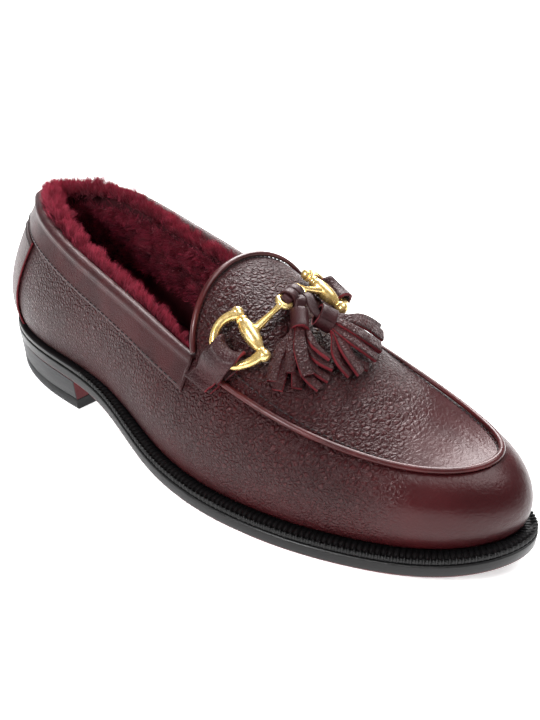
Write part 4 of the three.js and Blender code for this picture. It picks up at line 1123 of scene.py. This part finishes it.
def strands(name, count, low, high, length, thick, seed):
    """Hairs on part of the pad: low and high are shares of the way up the face and over the crest."""
    pick = np.random.default_rng(seed)
    surface = np.array(face_rows)
    rows, columns = surface.shape[:2]
    along = pick.uniform(0, columns - 1.001, count)
    up = pick.uniform(low, high, count) * (rows - 1.001)
    c, r = along.astype(int), up.astype(int)
    fc, fr = (along - c)[:, None], (up - r)[:, None]
    corner = [surface[r, c], surface[r, c + 1], surface[r + 1, c], surface[r + 1, c + 1]]
    root = (1 - fr) * ((1 - fc) * corner[0] + fc * corner[1]) + fr * ((1 - fc) * corner[2] + fc * corner[3])
    out = unit(np.cross(corner[2] - corner[0], corner[1] - corner[0]))
    middle = surface.mean((0, 1))
    inward_side = np.sign(((middle - root)[:, :2] * out[:, :2]).sum(1))
    out *= np.where(r[:, None] < rows - 4, inward_side[:, None], np.sign(out[:, 2:]))
    ease = (0.45 + 0.55 * pile_ease[c])[:, None]
    lean = unit(out + np.array([0.15, 0, 0.35]) + pick.normal(0, 0.34, (count, 3)))
    tuft_a = np.floor((along + pick.normal(0, 0.3, count)) / 1.7).astype(int)
    tuft_b = np.floor((up * 2.4 + pick.normal(0, 0.3, count)) / 1.3).astype(int)
    _, group = np.unique(tuft_a * 1000 + tuft_b, return_inverse=True)
    tufts = group.max() + 1
    tall, swirl = pick.uniform(0.65, 1.25, tufts)[group][:, None], pick.normal(0, 0.28, (tufts, 3))[group]
    long = length * pick.uniform(0.8, 1.1, count)[:, None] * tall * ease
    lean = unit(lean + swirl)
    middle_point = root + lean * long * 0.55
    tip = middle_point + unit(lean + pick.normal(0, 0.2, (count, 3)) + np.array([0, 0, 0.15])) * long * 0.5
    size = np.bincount(group)[:, None]
    centre = np.stack([np.bincount(group, tip[:, axis]) for axis in range(3)], -1) / size
    tip += (centre[group] - tip) * 0.42
    flat = unit(np.cross(lean, pick.normal(0, 1, (count, 3)))) * thick / 2
    narrow = flat * 0.85
    points = np.stack([root - flat, root + flat, middle_point + narrow, middle_point - narrow, tip], 1)
    sheet = Sheet()
    sheet.points = points.reshape(-1, 3)
    first = np.arange(count) * 5
    quads = np.stack([first, first + 1, first + 2, first + 3], 1).tolist()
    tips = np.stack([first + 3, first + 2, first + 4], 1).tolist()
    sheet.faces, sheet.marks = quads + tips, [0] * (2 * count)
    # The pile value rises from root to tip of each hair and sets its painted shade, with a random scale per
    # hair.
    heights = np.tile([0.05, 0.05, 0.5, 0.5, 1.0], count) * np.repeat(pick.uniform(0.6, 1.0, count), 5)
    return dress(name, sheet, [pile], ["fur_lining"], values={"pile": heights})


strands("pile_inside", 60000, 0.0, 0.72, 7.0, 0.32, 11)
strands("pile_rim", 62000, 0.6, 1.0, 7.8, 0.25, 12)

# %% [markdown]
# ## The bit
# The bit lies across the instep in its own frame: ahead, across and up from the middle of its link. Each ring
# is a round arc closed by its barrel, and a half-bar runs from the barrel to an eye.

# %% The bit's own frame
BIT_X, LINK_OFFSET, LINK_TILT = 191.0, 1.0, 10.0
RING_RADIUS, RING_WIRE, RING_TAPER = 9.1, 4.6, 0.72
BARREL_OFFSET, BARREL_LIFT = 4.0, 3.9
EYE_DIAMETER, EYE_WIRE, EYE_SPACING = 7.0, 1.7, 13.0
STRAP_WIDTH, STRAP_THICKNESS, STRAP_END, STRAP_SETBACK, STRAP_SLANT = 11.2, 1.2, 6.5, 0.7, 9.0
LINK_WIDTH, LINK_THICKNESS, THONG_WIDTH, THONG_THICKNESS, THONG_SPACING = 4.2, 1.0, 4.2, 1.0, 5.0
SEAT = 2 * GAP
BITS = [
    # name, side, ahead, out, lean in degrees
    ("outer", -1, -0.7, 0.626, 26), ("inner", 1, -0.8, 0.5, 22),
]
LINK_GIRTH = MIDDLE - LINK_OFFSET
link_half = EYE_WIRE / 2 + GAP + LINK_THICKNESS
bit_normal = skin_normal(BIT_X, LINK_GIRTH, -1)
bit_ahead = unit(skin_point(BIT_X + 0.5, LINK_GIRTH, -1) - skin_point(BIT_X - 0.5, LINK_GIRTH, -1))


def turned(vector, axis, angle):
    """The vector turned about an axis by an angle in radians."""
    return (vector * math.cos(angle) + np.cross(axis, vector) * math.sin(angle)
            + axis * np.dot(axis, vector) * (1 - math.cos(angle)))


bit_up = turned(bit_normal, bit_ahead, math.radians(-LINK_TILT))
bit_across = np.cross(bit_up, bit_ahead)
bit_middle = raised(BIT_X, LINK_GIRTH, -1, link_half + GAP + THONG_THICKNESS + SEAT)


def bit_place(ahead, across, up):
    return bit_middle + bit_ahead * ahead + bit_across * across + bit_up * up


WIRE_LIFT = SEAT + STRAP_THICKNESS + SEAT + RING_WIRE * RING_TAPER / 2
print("the link stands", round(float(bit_middle[2]), 1), "mm over the floor")

# %% Rings, barrels, half-bars and eyes
ROUND = circle(18)


def turned_bar(sheet, start, end, radii, up, sides=20):
    """A bar turned on a lathe: (share along, radius) pairs between two points."""
    shares = np.array([share for share, _ in radii])
    sizes = np.array([radius for _, radius in radii])
    path = start + (end - start) * shares[:, None]
    rows = bar(sheet, path, up, sizes, sizes, circle(sides))
    return rows


for name, side, ahead, out, lean_degrees in BITS:
    metal = Sheet()
    x, girth = BIT_X + ahead, MIDDLE * (1 - out)
    lean = math.radians(lean_degrees)
    half = math.acos(BARREL_OFFSET / RING_RADIUS)
    toward = lean - math.pi / 2
    ring_path, ring_size = [], []
    for angle in np.linspace(toward + half, toward + 2 * math.pi - half, 61):
        away = 0.5 - 0.5 * math.cos(angle - toward)
        lift = BARREL_LIFT + (WIRE_LIFT - BARREL_LIFT) * smoothstep(away, 0.3, 0.7)
        ring_path.append(raised(x + RING_RADIUS * math.cos(angle), girth - RING_RADIUS * math.sin(angle),
                                side, lift))
        ring_size.append(RING_WIRE / 2 * (1 + (RING_TAPER - 1) * smoothstep(away, 0.2, 0.7)))
    ring_path, ring_size = np.array(ring_path), np.array(ring_size)
    up = skin_normal(x, girth, side)
    first, last = ring_path[0], ring_path[-1]
    axis = unit(last - first)
    outward = [first - axis * 1.1 + (first - ring_path[3]) * share for share in (0.5, 0.35, 0.15)]
    onward = [last + axis * 1.1 + (last - ring_path[-4]) * share for share in (0.15, 0.35, 0.5)]
    wire_size = [0.8, 1.9, 2.4, *ring_size, 2.4, 1.9, 0.8]
    bar(metal, [*outward, *ring_path, *onward], up, wire_size, wire_size, ROUND)
    turned_bar(metal, first, last, [
        (0.0, 1.5), (0.1, 1.5), (0.14, 1.9), (0.2, 2.35), (0.3, 2.85), (0.4, 3.1), (0.5, 3.2), (0.6, 3.1),
        (0.7, 2.85), (0.79, 2.4), (0.82, 2.0), (0.84, 2.35), (0.89, 2.3), (0.91, 1.6), (1.0, 1.5)], up)
    for centre, sign in ((first, -1), (last, 1)):
        ball = centre + axis * sign * 1.2
        turned_bar(metal, ball - axis * 2.4, ball + axis * 2.4, [
            (0.5 - 0.5 * math.cos(v), 2.5 * max(math.sin(v), 0.03)) for v in np.linspace(0, math.pi, 13)], up)
    eye_centre = bit_place(0, side * EYE_SPACING / 2, 0)
    eye_radius = (EYE_DIAMETER - EYE_WIRE) / 2
    angles = np.linspace(0, 2 * math.pi, 48, endpoint=False)
    eye_path = np.array([eye_centre + eye_radius * (bit_ahead * math.cos(v) + bit_across * math.sin(v))
                         for v in angles])
    swell = 1 + 0.5 * (0.5 + 0.5 * np.cos(angles - side * math.pi / 2))
    bar(metal, eye_path, bit_up, EYE_WIRE / 2 * swell, EYE_WIRE / 2 * swell, ROUND, closed=True)
    root = (first + last) / 2
    tip = eye_centre + bit_across * side * eye_radius
    turned_bar(metal, root, tip, [(0.0, 1.9), (0.25, 1.7), (0.42, 1.5), (0.6, 1.25), (0.78, 1.1), (0.9, 1.25),
                                  (1.0, 1.5)], up)
    dress("gold_bit_" + name, metal, [gold], ["bit_" + name])

# %% [markdown]
# ## Straps
# A strap is folded round the ring's wire and stitched down below the seam. Its cut edges show red.

# %% Straps
for name, side, ahead, out, _ in BITS:
    x, girth = BIT_X + ahead, MIDDLE * (1 - out)
    wire = RING_WIRE * RING_TAPER / 2
    over_lift = SEAT + 2 * STRAP_THICKNESS + GAP
    strap = Sheet()
    columns = []
    for share_across in np.linspace(0, 1, 17):
        side_step = (share_across - 0.5) * STRAP_WIDTH - STRAP_SETBACK
        fall = math.sqrt(RING_RADIUS**2 - side_step**2)
        fold_girth = girth - fall
        high = wire + SEAT + STRAP_THICKNESS
        long = (wire + SEAT + GAP) * RING_RADIUS / fall + STRAP_THICKNESS
        rows = [(share, -STRAP_END + (fold_girth + STRAP_END) * share, SEAT)
                for share in np.linspace(0, 0.95, 14)]
        rows += [(1, fold_girth + long * math.cos(v), WIRE_LIFT + high * math.sin(v))
                 for v in np.linspace(-math.pi / 2, math.pi / 2, 12)]
        for share in np.linspace(0.95, 0, 18):
            rise = smoothstep(share, 0.5, 1.0)
            press_down = 0.55 * math.exp(-(((share - 0.2) / 0.05) ** 2)) if share > 0.02 else 0.0
            top = over_lift + (WIRE_LIFT + high - over_lift) * rise - press_down
            rows.append((share, -STRAP_END + (fold_girth + STRAP_END) * share, top))
        columns.append(strap.add(np.array([raised(x + side_step + STRAP_SLANT * (share - 1), up, side, lift)
                                           for share, up, lift in rows])))
    columns = np.array(columns)
    strap.grid(columns if side < 0 else columns[::-1])
    strap.thicken(STRAP_THICKNESS, edge_mark=1)
    dress("calf_strap_" + name, strap, [strap_calf, cut_edge], ["strap_" + name])

# %% [markdown]
# ## Link and tassels
# A leather band runs through both eyes. A thong loops round it on each side and holds a tassel: a rolled cap
# with a seam and an open end, and a fan of cut strips that curl as leather does.

# %% Link wrap
link = Sheet()
reach_across, link_radius = EYE_SPACING / 2 - GAP, link_half - LINK_THICKNESS / 2
link_path = []
for side in (1, -1):
    for angle in np.linspace(-math.pi / 2, math.pi / 2, 12):
        link_path.append(bit_place(0, side * (reach_across - link_radius + link_radius * math.cos(angle)),
                                   side * link_radius * math.sin(angle)))
bar(link, link_path, bit_ahead, LINK_THICKNESS / 2, LINK_WIDTH / 2, rounded_flat(), closed=True)
dress("link_band", link, [wrap_calf], ["link_wrap"])

# %% Tassels
TASSELS = [
    # name, side, cap diameter, then x, girth and lift of the cap's top and of its end
    ("outer", -1, 7.8, (197.6, 39.0, 5.4), (203.0, 32.3, 5.0)),
    ("inner", 1, 10.4, (201.8, 42.0, 6.6), (206.6, 37.2, 6.2)),
]
STRIPS = {
    # x, girth and lift halfway and at the tip, width in mm, twist in degrees
    "outer": [
        ((209.3, 22.1, 2.2), (215.3, 13.4, 1.2), 4.2, 10), ((206.5, 20.4, 2.4), (210.4, 9.0, 1.2), 4.0, -35),
        ((203.0, 23.2, 3.4), (207.2, 10.8, 1.6), 4.2, -30), ((214.2, 23.3, 2.6), (220.9, 23.4, 1.3), 3.6, 20),
        ((213.4, 20.0, 2.2), (221.0, 18.0, 1.3), 3.8, 10), ((212.1, 26.9, 3.6), (218.9, 28.2, 2.0), 3.4, 40),
        ((205.9, 23.4, 4.6), (210.6, 16.3, 3.2), 4.0, -15), ((209.6, 30.3, 5.0), (216.0, 30.4, 3.2), 3.4, 50),
        ((208.9, 23.9, 6.0), (215.6, 18.6, 4.0), 5.2, 0),
    ],
    "inner": [
        ((219.3, 37.1, 2.8), (225.4, 31.7, 1.5), 4.4, 0), ((216.9, 42.8, 3.6), (224.5, 41.5, 1.6), 4.6, 10),
        ((213.0, 30.0, 4.0), (220.0, 17.0, 2.2), 4.4, -10), ((217.5, 39.4, 5.4), (226.3, 37.7, 2.4), 5.4, 8),
        ((207.8, 21.6, 6.2), (210.0, 7.0, 5.5), 4.4, -60), ((216.3, 34.7, 6.6), (224.0, 26.6, 3.4), 5.0, 4),
        ((210.2, 24.1, 7.0), (215.7, 12.1, 5.0), 5.2, -12), ((214.2, 30.9, 7.6), (221.2, 20.6, 4.6), 5.2, -4),
    ],
}
STRIP_THICKNESS = 1.9
for name, side, cap, cap_top, cap_end in TASSELS:
    tassel = Sheet()
    across = side * THONG_SPACING / 2
    wrap_wide = LINK_WIDTH / 2 + GAP + THONG_THICKNESS / 2
    wrap_high = link_half + GAP + THONG_THICKNESS / 2
    loop = [bit_place(wrap_wide * math.cos(v) * 1.2, across, wrap_high * math.sin(v) * 1.12)
            for v in np.linspace(0, 2 * math.pi, 32, endpoint=False)]
    bar(tassel, loop, bit_across, THONG_THICKNESS / 2, THONG_WIDTH / 2, rounded_flat(), closed=True, mark=2)
    top, end = raised(*cap_top[:2], side, cap_top[2]), raised(*cap_end[:2], side, cap_end[2])
    up = skin_normal(*cap_end[:2], side)
    tied = [bit_place(wrap_wide, across, wrap_high * 0.2), bit_place(wrap_wide + 1.0, across, wrap_high * 1.1)]
    neck = smooth_path([*tied, top, top + (end - top) * 0.3], 18)
    bar(tassel, neck, up, THONG_WIDTH / 2, THONG_THICKNESS / 2, rounded_flat(), mark=2)
    roll = np.linspace(0, 2 * math.pi * 1.15, 48)
    radius = cap / 2 * (1 - 0.16 * roll / roll[-1])
    start_angle = 1.3 if side < 0 else 2.6
    spiral = np.stack([np.cos(roll + start_angle) * radius, np.sin(roll + start_angle) * radius], -1)
    cap_axis = unit(end - top)
    cap_side = unit(np.cross(up, cap_axis))
    cap_up = np.cross(cap_axis, cap_side)
    ring = cap_side * spiral[:, :1] + cap_up * spiral[:, 1:]
    cap_rows, inner_rows = [], []
    swells = (0, 0.95), (0.04, 1.0), (0.25, 0.99), (0.5, 0.97), (0.8, 1.0), (0.96, 1.02), (1, 0.99)
    for share, swell in swells:
        centre = top + (end - top) * share
        cap_rows.append(tassel.add(centre + swell * ring))
        inner_rows.append(tassel.add(centre + ring * (swell - 1.1 / (cap / 2))))
    tassel.grid(np.array(cap_rows).T[::-1], mark=2)
    tassel.grid(np.array(inner_rows).T, mark=2)
    for outer_row, inner_row in ((cap_rows[0], inner_rows[0]), (cap_rows[-1], inner_rows[-1])):
        tassel.grid(np.array([outer_row, inner_row]), mark=1)
    core = cap * 0.36
    bar(tassel, [top + (end - top) * 0.35, top + (end - top) * 0.98], up, core, core, circle(24), mark=1)
    for middle, tip, width, twist in STRIPS[name]:
        half_way, tip_point = raised(*middle[:2], side, middle[2]), raised(*tip[:2], side, tip[2])
        fan = half_way - end
        fan -= cap_axis * np.dot(fan, cap_axis)
        spread = fan * min(1.0, core / max(np.linalg.norm(fan), 0.1))
        leaving = [top + (end - top) * 0.8 + spread * 0.8, end + cap_axis * 0.8 + spread]
        path = smooth_path([*leaving, half_way, tip_point], 26)
        share = np.linspace(0, 1, 26)
        aside = unit(np.cross(up, tip_point - end))
        ups = unit(up + aside * (math.sin(math.radians(twist)) * smoothstep(share, 0.1, 0.9))[:, None])
        widths = width / 2 * np.interp(share, [0, 0.2, 0.5, 1], [0.55, 0.75, 1.0, 1.02])
        bar(tassel, path, ups, widths, STRIP_THICKNESS / 2, rounded_flat(), mark=1,
            marks=[1, 1, 1, 1, 1, 1, 0, 0, 0, 0, 0, 1])
    dress("cut_tassel_" + name, tassel, [tassel_calf, cut_edge, wrap_calf],
          ["tassel_" + name], values={"grain": np.full(len(tassel.points), 0.9)})

# %% [markdown]
# ## Stitches
# A stitch is a short stay of thread: it comes up, lies along the leather and goes down again. All of a row's
# stitches are one mesh, each a small capsule laid along the row.

# %% Rows of stitches


def stitch_row(sheet, path, normals, length=2.2, space=0.9, thick=0.28):
    """Stitches along a path of points with their normals."""
    path, normals = np.asarray(path), np.asarray(normals)
    run = np.concatenate([[0], np.cumsum(np.linalg.norm(np.diff(path, axis=0), axis=1))])
    section = circle(6)
    for start in np.arange(0.3, run[-1] - length, length + space):
        at = np.linspace(start, start + length, 5)
        spots = np.stack([np.interp(at, run, path[:, axis]) for axis in range(3)], -1)
        ups = unit(np.stack([np.interp(at, run, normals[:, axis]) for axis in range(3)], -1))
        rise = np.array([-0.25, 0.18, 0.26, 0.18, -0.25])[:, None]
        bar(sheet, spots + ups * rise, ups, thick * np.array([0.7, 1, 1, 1, 0.7]), thick * 0.9, section)


def wall_row(laps, share, lift):
    base = wall_place(laps, share, lift)
    return base, unit(wall_place(laps, share, lift + 1) - base)


stitches = Sheet()
stitch_row(stitches, *wall_row(BAND_LAPS, band_foot + (1 - band_foot) * 0.09, GAP + BAND_THICKNESS * 1.05))
edge_row = tongue_rows[1][2:-2]
stitch_row(stitches, lifted(edge_row, 0.12), upper_normals[edge_row], 1.6, 0.8, 0.24)
counter_high = counter_top * 0.955
stitch_row(stitches, *wall_row(counter_laps, counter_high, GAP + 1.25), 1.8, 0.8, 0.24)
apron_inner = []
for k in range(JOIN + 6, COLUMNS - 4):
    apron_inner.append(k)
for side in (-1, 1):
    rows = np.array([apron_point(k / COLUMNS, side * (1 - 2.3 / max(3, float(top_half(k / COLUMNS)))))
                     for k in apron_inner])
    near = np.array([apron_point(k / COLUMNS, side * (1 - 3.3 / max(4, float(top_half(k / COLUMNS)))))
                     for k in apron_inner])
    ups = unit(np.cross(np.gradient(rows, axis=0), near - rows) * side)
    ups *= np.sign(ups[:, 2:])
    stitch_row(stitches, rows + ups * 0.1, ups, 1.5, 0.8, 0.22)
for name, side, ahead, out, _ in BITS:
    x, girth = BIT_X + ahead, MIDDLE * (1 - out)
    over_lift = SEAT + 2 * STRAP_THICKNESS + GAP
    for share in (0.09, 0.3):
        ends = []
        for share_across in np.linspace(0.08, 0.92, 9):
            side_step = (share_across - 0.5) * STRAP_WIDTH - STRAP_SETBACK
            fold_girth = girth - math.sqrt(RING_RADIUS**2 - side_step**2)
            ends.append(raised(x + side_step + STRAP_SLANT * (share - 1),
                               -STRAP_END + (fold_girth + STRAP_END) * share, side, over_lift + 0.1))
        up = skin_normal(x + STRAP_SLANT * (share - 1), 1.0, side)
        stitch_row(stitches, ends, np.tile(up, (9, 1)), 1.7, 0.7, 0.26)
dress("stitches", stitches, [thread])

# %% [markdown]
# ## Floor, light and camera
# A catalogue photograph: a white sweep, a bright even surround, one broad softbox above and behind the toe,
# and a weaker one from the left, so the grain shows and the shadow stays faint.

# %% Floor, lights and camera
floor_mesh = bpy.data.meshes.new("floor")
wide = 24.0
steps = np.linspace(-wide, wide, 9)
floor_points = [(x, y, -0.0002) for y in steps for x in steps]
floor_faces = [(r * 9 + c, r * 9 + c + 1, r * 9 + c + 10, r * 9 + c + 9) for r in range(8) for c in range(8)]
floor_mesh.from_pydata(floor_points, [], floor_faces)
floor_mesh.materials.append(sweep)
floor = bpy.data.objects.new("floor", floor_mesh)
bpy.context.scene.collection.objects.link(floor)


def softbox(name, place, size, power, tint=(1, 1, 1)):
    """A square area light at a place in metres that faces the shoe."""
    from mathutils import Vector

    lamp = bpy.data.lights.new(name, "AREA")
    lamp.shape, lamp.size, lamp.energy, lamp.color = "SQUARE", size, power, tint
    holder = bpy.data.objects.new(name, lamp)
    holder.location = place
    holder.rotation_euler = (Vector((0.02, 0, 0.04)) - Vector(place)).to_track_quat("-Z", "Y").to_euler()
    bpy.context.scene.collection.objects.link(holder)


softbox("back", (-0.35, 0.65, 0.7), 0.55, 17)
softbox("left", (0.0, -0.8, 0.65), 0.25, 9)
sun_data = bpy.data.lights.new("ceiling", "SUN")
sun_data.energy, sun_data.angle = 2.2, math.radians(40)
ceiling = bpy.data.objects.new("ceiling", sun_data)
ceiling.rotation_euler = (math.radians(-20), math.radians(15), 0)
bpy.context.scene.collection.objects.link(ceiling)
bpy.context.scene.view_settings.view_transform = "Standard"
world = bpy.data.worlds.new("surround")
world.use_nodes = True
background = world.node_tree.nodes["Background"]
background.inputs["Color"].default_value = (1, 1, 1, 1)
background.inputs["Strength"].default_value = 0.24
bpy.context.scene.world = world

CAMERA = {"azimuth": 41.0, "elevation": 28.3, "roll": 0.5, "distance": 324.3, "focal": 720.8}
AIM = np.array([168.6, 8.8, 35.0])
a, e, roll = (math.radians(CAMERA[key]) for key in ("azimuth", "elevation", "roll"))
back = np.array([math.sin(a) * math.cos(e), -math.cos(a) * math.cos(e), math.sin(e)])
right = np.array([math.cos(a), math.sin(a), 0])
up = np.cross(back, right)
right, up = right * math.cos(roll) + up * math.sin(roll), up * math.cos(roll) - right * math.sin(roll)
camera_data = bpy.data.cameras.new("camera")
camera_data.sensor_fit = "HORIZONTAL"
camera_data.sensor_width = 27.0
camera_data.lens = CAMERA["focal"] * 27.0 / 540
camera_data.clip_start, camera_data.clip_end = 0.01, 50
camera = bpy.data.objects.new("camera", camera_data)
spot = (AIM + SHIFT + back * CAMERA["distance"]) * MM
camera.matrix_world = Matrix([[*map(float, row), float(spot[i])] for i, row in
                              enumerate(np.stack([right, up, back], 1))] + [[0, 0, 0, 1]])
bpy.context.scene.collection.objects.link(camera)
bpy.context.scene.camera = camera
print("camera at", [round(float(c), 3) for c in spot])
